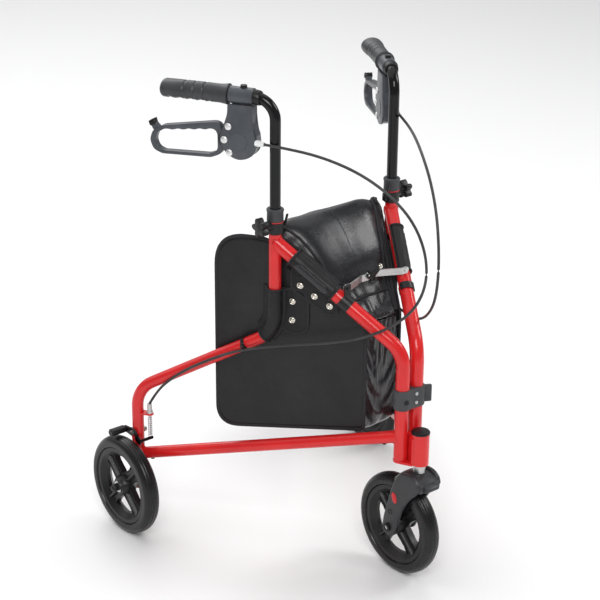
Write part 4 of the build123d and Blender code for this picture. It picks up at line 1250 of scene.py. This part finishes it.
def makeFork():
    c = fork
    bm = bmesh.new()
    leg = evenLoop([tuple(p) for p in smoothLine(c["outline"] + c["outline"][:1], 200)][:-1], 110)
    for side in (-1, 1):
        low, high = sorted((side * c["gap"], side * (c["gap"] + c["leg"])))
        plateFrom(bm, leg, low, high, bevel=0.0032, segments=4)
    # domed crown with its nose, a shell over both legs
    crown = []
    for k in range(15):
        share = k / 14
        y = -0.0615 + 0.0690 * share
        top = 0.1985 + 0.0185 * sin(pi * min(1, 0.10 + share * 0.92)) ** 0.62
        crown.append((y, top, 0.0285 * (0.52 + 0.48 * sin(pi * min(1, 0.12 + share * 0.80)) ** 0.55)))
    rings = []
    for y, top, wide in crown:
        ring = []
        for j in range(25):
            turn = pi * j / 24
            x = -cos(turn) * wide
            z = 0.1905 + (top - 0.1905) * sin(turn) ** 0.42
            ring.append(bm.verts.new((x, y, z)))
        rings.append(ring)
    loops = [[bm.edges.new(pair) for pair in zip(r, r[1:] + r[:1])] for r in rings]
    for a, b in zip(loops, loops[1:]):
        bmesh.ops.bridge_loops(bm, edges=a + b)
    for r in (rings[0], rings[-1]):
        bmesh.ops.contextual_create(bm, geom=r)
    nose = [(-0.0700, 0.1985), (-0.0700, 0.1925), (-0.0560, 0.1870), (-0.0480, 0.1960), (-0.0520, 0.2080)]
    plateFrom(bm, roundedLoop(nose, 0.004, 5), -0.0150, 0.0150, bevel=0.0025, segments=3)
    finishPiece("forkBody", bm, forkPlastic, "caster", frontPlace(), angle=38)
    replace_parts(bpy.data.objects["forkBody"], "caster_fork")
    bm = bmesh.new()
    y, z, wide, tall = c["inlay"]
    oval = [(y + wide * cos(2 * pi * k / 40) + 0.22 * tall * sin(2 * pi * k / 40),
             z + tall * sin(2 * pi * k / 40))
            for k in range(40)]
    for side in (-1, 1):
        face = side * (c["gap"] + c["leg"])
        low, high = sorted((face - side * 0.001, face + side * 0.0009))
        plateFrom(bm, oval, low, high, bevel=0.0004)
    finishPiece("forkInlays", bm, redPlastic, "caster", frontPlace())
    bm = bmesh.new()
    y, z, r = c["hex"]
    for side in (-1, 1):
        face = side * (c["gap"] + c["leg"])
        rim = [(face - side * 0.001, r + 0.0012), (face + side * 0.0007, r + 0.0012),
               (face + side * 0.0007, r), (face - side * 0.0010, r)]
        spinProfile(bm, rim + [rim[0]], "X", 6, cent=(0, y, z))
    finishPiece("forkRecesses", bm, blackPlastic, "caster", frontPlace())


def addAcorn(bm, face, side, radius):
    # a domed nut
    six = [(face, 0.00001), (face, radius), (face + side * 0.0060, radius),
           (face + side * 0.0068, radius * 0.8), (face + side * 0.0068, 0.00001)]
    spinProfile(bm, six, "X", 6)
    dome = [(face + side * 0.005, 0.00001)]
    for k in range(11):
        turn = pi / 2 * k / 10
        dome.append((face + side * (0.0062 + 0.0074 * sin(turn)), max(0.0070 * cos(turn), 0.00001)))
    spinProfile(bm, dome, "X", 28)


def makeAcorns():
    # low black caps on the front axle, domed nuts on the rear ones
    bm = bmesh.new()
    ay, az = fork["axle"]
    for side in (-1, 1):
        face = fork["gap"] + fork["leg"]
        cap = [(face - 0.001, 0.0078), (face + 0.0036, 0.0078), (face + 0.0048, 0.0066),
               (face + 0.0048, 0.0040), (face + 0.0030, 0.0036), (face + 0.0030, 0.00001)]
        spinProfile(bm, [(side * x, r) for x, r in cap], "X", 36, cent=(0, ay, az))
    finishPiece("frontCaps", bm, blackPlastic, "caster", frontPlace())
    for sideName, side in sides.items():
        middle = wheelCentre(sideName + "_tyre")
        bm = bmesh.new()
        ring = [(side * 0.0170, 0.0045), (side * 0.0170, 0.0106), (side * 0.0185, 0.0106),
                (side * 0.0185, 0.0045)]
        spinProfile(bm, ring + [ring[0]], "X", 36)
        finishPiece(sideName + "WheelWasher", bm, zincSteel, sideName + "_frame",
                    Matrix.Translation(middle))
        bm = bmesh.new()
        addAcorn(bm, side * 0.0185, side, 0.0082)
        finishPiece(sideName + "WheelAcorn", bm, blackPlastic, sideName + "_frame",
                    Matrix.Translation(middle))


makeFork()
makeAcorns()
print("fork done")


# strap hinge round both posts, with its rivets and screw
strap = {"low": 0.332, "high": 0.369, "radius": 0.0157}


def makeStrap():
    c = strap
    outline = []
    for k in range(25):
        turn = radians(-90 + 180 * k / 24)
        outline.append((postX + c["radius"] * cos(turn), c["radius"] * sin(turn)))
    outline += [(0.006, c["radius"] - 0.0012), (-0.006, c["radius"] - 0.0012)]
    for k in range(25):
        turn = radians(90 + 180 * k / 24)
        outline.append((-postX + c["radius"] * cos(turn), c["radius"] * sin(turn)))
    outline += [(-0.006, -c["radius"] + 0.0012), (0.006, -c["radius"] + 0.0012)]
    bm = bmesh.new()
    plateFrom(bm, [(p[1], -p[0]) for p in outline], c["low"], c["high"], bevel=0.0022, segments=3)
    # plateFrom draws along X, so it is stood up
    for v in bm.verts:
        v.co = Vector((-v.co.z, v.co.y, v.co.x))
    tab = [(0.0270, -0.0100), (0.0400, -0.0160), (0.0432, -0.0095), (0.0300, -0.0020)]
    loop = roundedLoop(tab, 0.003, 4)
    before = set(bm.verts)
    plateFrom(bm, [(p[1], -p[0]) for p in loop], c["low"] + 0.003, c["high"] - 0.003, bevel=0.0014)
    for v in bm.verts:
        if v not in before:
            v.co = Vector((-v.co.z, v.co.y, v.co.x))
    piece = finishPiece("strapHinge", bm, strapPlastic, "right_frame", frontPlace(),
                        angle=40)
    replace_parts(piece, "strap_hinge")
    bm = bmesh.new()
    for z in (0.3425, 0.3590):
        head = bmesh.ops.create_uvsphere(bm, u_segments=20, v_segments=10, radius=0.0034)["verts"]
        for v in head:
            v.co.z *= 0.5
        turn = Vector((0, -1, 0)).to_track_quat("Z", "Y").to_matrix().to_4x4()
        bmesh.ops.transform(bm, matrix=Matrix.Translation((0.0045, -c["radius"] + 0.0010, z)) @ turn,
                            verts=head)
    finishPiece("strapRivets", bm, zincSteel, "right_frame", frontPlace())
    # dark screw through the strap's end, beside the near post
    bm = bmesh.new()
    ring = [(-c["radius"] - 0.0012, 0.00001), (-c["radius"] - 0.0004, 0.0016),
            (-c["radius"] - 0.0016, 0.0030),
            (-c["radius"] - 0.0012, 0.0046), (-c["radius"] + 0.0020, 0.0050)]
    spinProfile(bm, ring, "Y", 28, cent=(-0.0190, 0, 0.3480))
    finishPiece("strapScrew", bm, blackPlastic, "right_frame", frontPlace())


def makeWelds(sideName):
    # where the diagonal meets the upright, and the bottom tube meets both posts
    matrix = sideMatrix(sides[sideName])
    bm = bmesh.new()
    lowWay = Vector((0, 0.508, -0.1282)).normalized()
    rings = [((0, 0, diagonalZ(0)), diagonalWay, 0.0126, sleeve["riser"], 0.0112),
             ((0, 0, 0.2778), lowWay, 0.0111, 0.0, 0.0127), ((0, 0, 0.2778), lowWay, 0.0111, 0.508, 0.0112)]
    for start, way, radius, postS, postRadius in rings:
        across = Vector((1, 0, 0))
        rise = across.cross(way)
        path = []
        for k in range(72):
            a = 2 * pi * k / 72
            ripple = 1 + 0.02 * sin(a * 22)
            at = Vector(start) + (across * cos(a) + rise * sin(a)) * radius * ripple
            out = min(abs(at.x), postRadius)
            reach = sqrt(postRadius ** 2 - out ** 2)
            goal = postS - reach if postS > 0.1 else postS + reach
            path.append(at + way * ((goal - at.y) / way.y))
        sweepTube(bm, path, 0.0014, 8, closed=True)
    finishPiece(sideName + "WeldBeads", bm, redPaint, sideName + "_frame", matrix, angle=60)
    # small screws under the bottom tube, and the clip that holds the cable
    bm = bmesh.new()
    for s in (0.030, 0.480):
        z = 0.2778 - 0.2524 * s - 0.0113
        before = set(bm.verts)
        spinProfile(bm, [(0.0010, 0.0040), (-0.0010, 0.0040), (-0.0022, 0.0028), (-0.0022, 0.00001)],
                    "Y", 20)
        new = [v for v in bm.verts if v not in before]
        bmesh.ops.rotate(bm, verts=new, matrix=Matrix.Rotation(pi / 2, 3, "X"))
        bmesh.ops.translate(bm, verts=new, vec=(0, s, z))
    clipAt, rearWay = Vector((0, 0.292, 0.4077)), Vector((0, 0.2716, -0.1565)).normalized()
    across, rise = Vector((1, 0, 0)), Vector((1, 0, 0)).cross(rearWay)
    band = [clipAt + (across * cos(radians(t)) + rise * sin(radians(t))) * 0.0119 for t in range(0, 360,
                                                                                                 12)]
    for shift in (-0.0022, 0, 0.0022):
        sweepTube(bm, [p + rearWay * shift for p in band], 0.0013, 6, closed=True)
    hook = [clipAt + Vector((0.0152, 0, 0.0008)) + (across * cos(radians(t))
                                                    + rise * sin(radians(t))) * 0.0037
            for t in range(0, 360, 20)]
    for shift in (-0.0015, 0.0015):
        sweepTube(bm, [p + rearWay * shift for p in hook], 0.0011, 6, closed=True)
    finishPiece(sideName + "TubeFittings", bm, blackPlastic, sideName + "_frame", matrix)


makeStrap()
for sideName in sides:
    makeWelds(sideName)
print("hinge and welds done")


# brake pads, their red tabs and the link's pull strap
brake = {"shoe": (0.022, 0.1966), "shoeFrom": 0.0170, "shoeTo": 0.0470, "pivot": (-0.002, 0.197),
         "armOut": 0.015}


def rearMatrix(sideName):
    turn = sideMatrix(1) @ Matrix.Translation((0, 0.508, 0)) @ Matrix.Rotation(openAngle, 4, "Z")
    return turn if sides[sideName] > 0 else Matrix.Scale(-1, 4, (1, 0, 0)) @ turn


def makeBrakePieces(sideName):
    c = brake
    matrix = rearMatrix(sideName)
    body = sideName + "_brake"
    bm = bmesh.new()
    y, z = c["shoe"]
    shoe = roundedLoop([(y - 0.0078, z - 0.0030), (y - 0.0030, z - 0.0064), (y + 0.0066, z - 0.0050),
                        (y + 0.0072, z + 0.0050), (y + 0.0010, z + 0.0076), (y - 0.0072, z + 0.0052)],
                       0.003, 4)
    plateFrom(bm, shoe, c["shoeFrom"], c["shoeTo"], bevel=0.0016, segments=3)
    py, pz = c["pivot"]
    block = roundedLoop([(py - 0.0135, pz - 0.0070), (py + 0.0150, pz - 0.0055), (py + 0.0200, pz + 0.0040),
                         (py + 0.0040, pz + 0.0095), (py - 0.0120, pz + 0.0070)], 0.004, 4)
    plateFrom(bm, block, c["armOut"] - 0.0028, c["armOut"] + 0.0006, bevel=0.0012)
    finishPiece(sideName + "BrakePad", bm, blackPlastic, body, matrix)
    bm = bmesh.new()
    tab = roundedLoop([(py - 0.0085, pz - 0.0175), (py - 0.0020, pz - 0.0190), (py + 0.0010, pz - 0.0040),
                       (py - 0.0070, pz - 0.0030)], 0.002, 4)
    plateFrom(bm, tab, c["armOut"] - 0.0010, c["armOut"] + 0.0016, bevel=0.0006)
    finishPiece(sideName + "BrakeTab", bm, redPlastic, body, matrix)


pull = {"low": (0.0050, -0.1245, 0.5475), "high": (0.0180, -0.1235, 0.5600), "wide": 0.0062,
        "thick": 0.0016}


def makePullStrap():
    # a short strap looped round the link's middle, with a stud at its end
    c = pull
    low, high = Vector(c["low"]), Vector(c["high"])
    way = (high - low).normalized()
    bm = bmesh.new()
    path = [low.lerp(high, k / 10) + Vector((0, -0.0016 * sin(pi * k / 10), 0)) for k in range(11)]
    sweepTube(bm, [low - way * 0.014] + path, c["wide"], 14, squash=0.16, flatWay=lambda p: (0, 1, 0))
    loop = []
    for k in range(24):
        a = 2 * pi * k / 24
        loop.append(Vector((0.0035, -0.1172 + 0.0062 * cos(a), 0.541 + 0.0076 * sin(a))))
    for shift in (-0.0035, 0, 0.0035):
        sweepTube(bm, [p + Vector((shift, 0, 0)) for p in loop], 0.0020, 8, closed=True)
    finishPiece("linkPullStrap", bm, sleeveVinyl, "left_link", None, angle=60)
    bm = bmesh.new()
    addStud(bm, (0, 0, 0), 0.0048)
    turn = Vector((-0.3, -1, 0.25)).to_track_quat("X", "Z").to_matrix().to_4x4()
    finishPiece("linkPullStud", bm, brassNickel, "left_link",
                Matrix.Translation(high + Vector((0, -0.0012, -0.003))) @ turn)


makePullStrap()
for sideName in sides:
    makeBrakePieces(sideName)
print("brakes done")
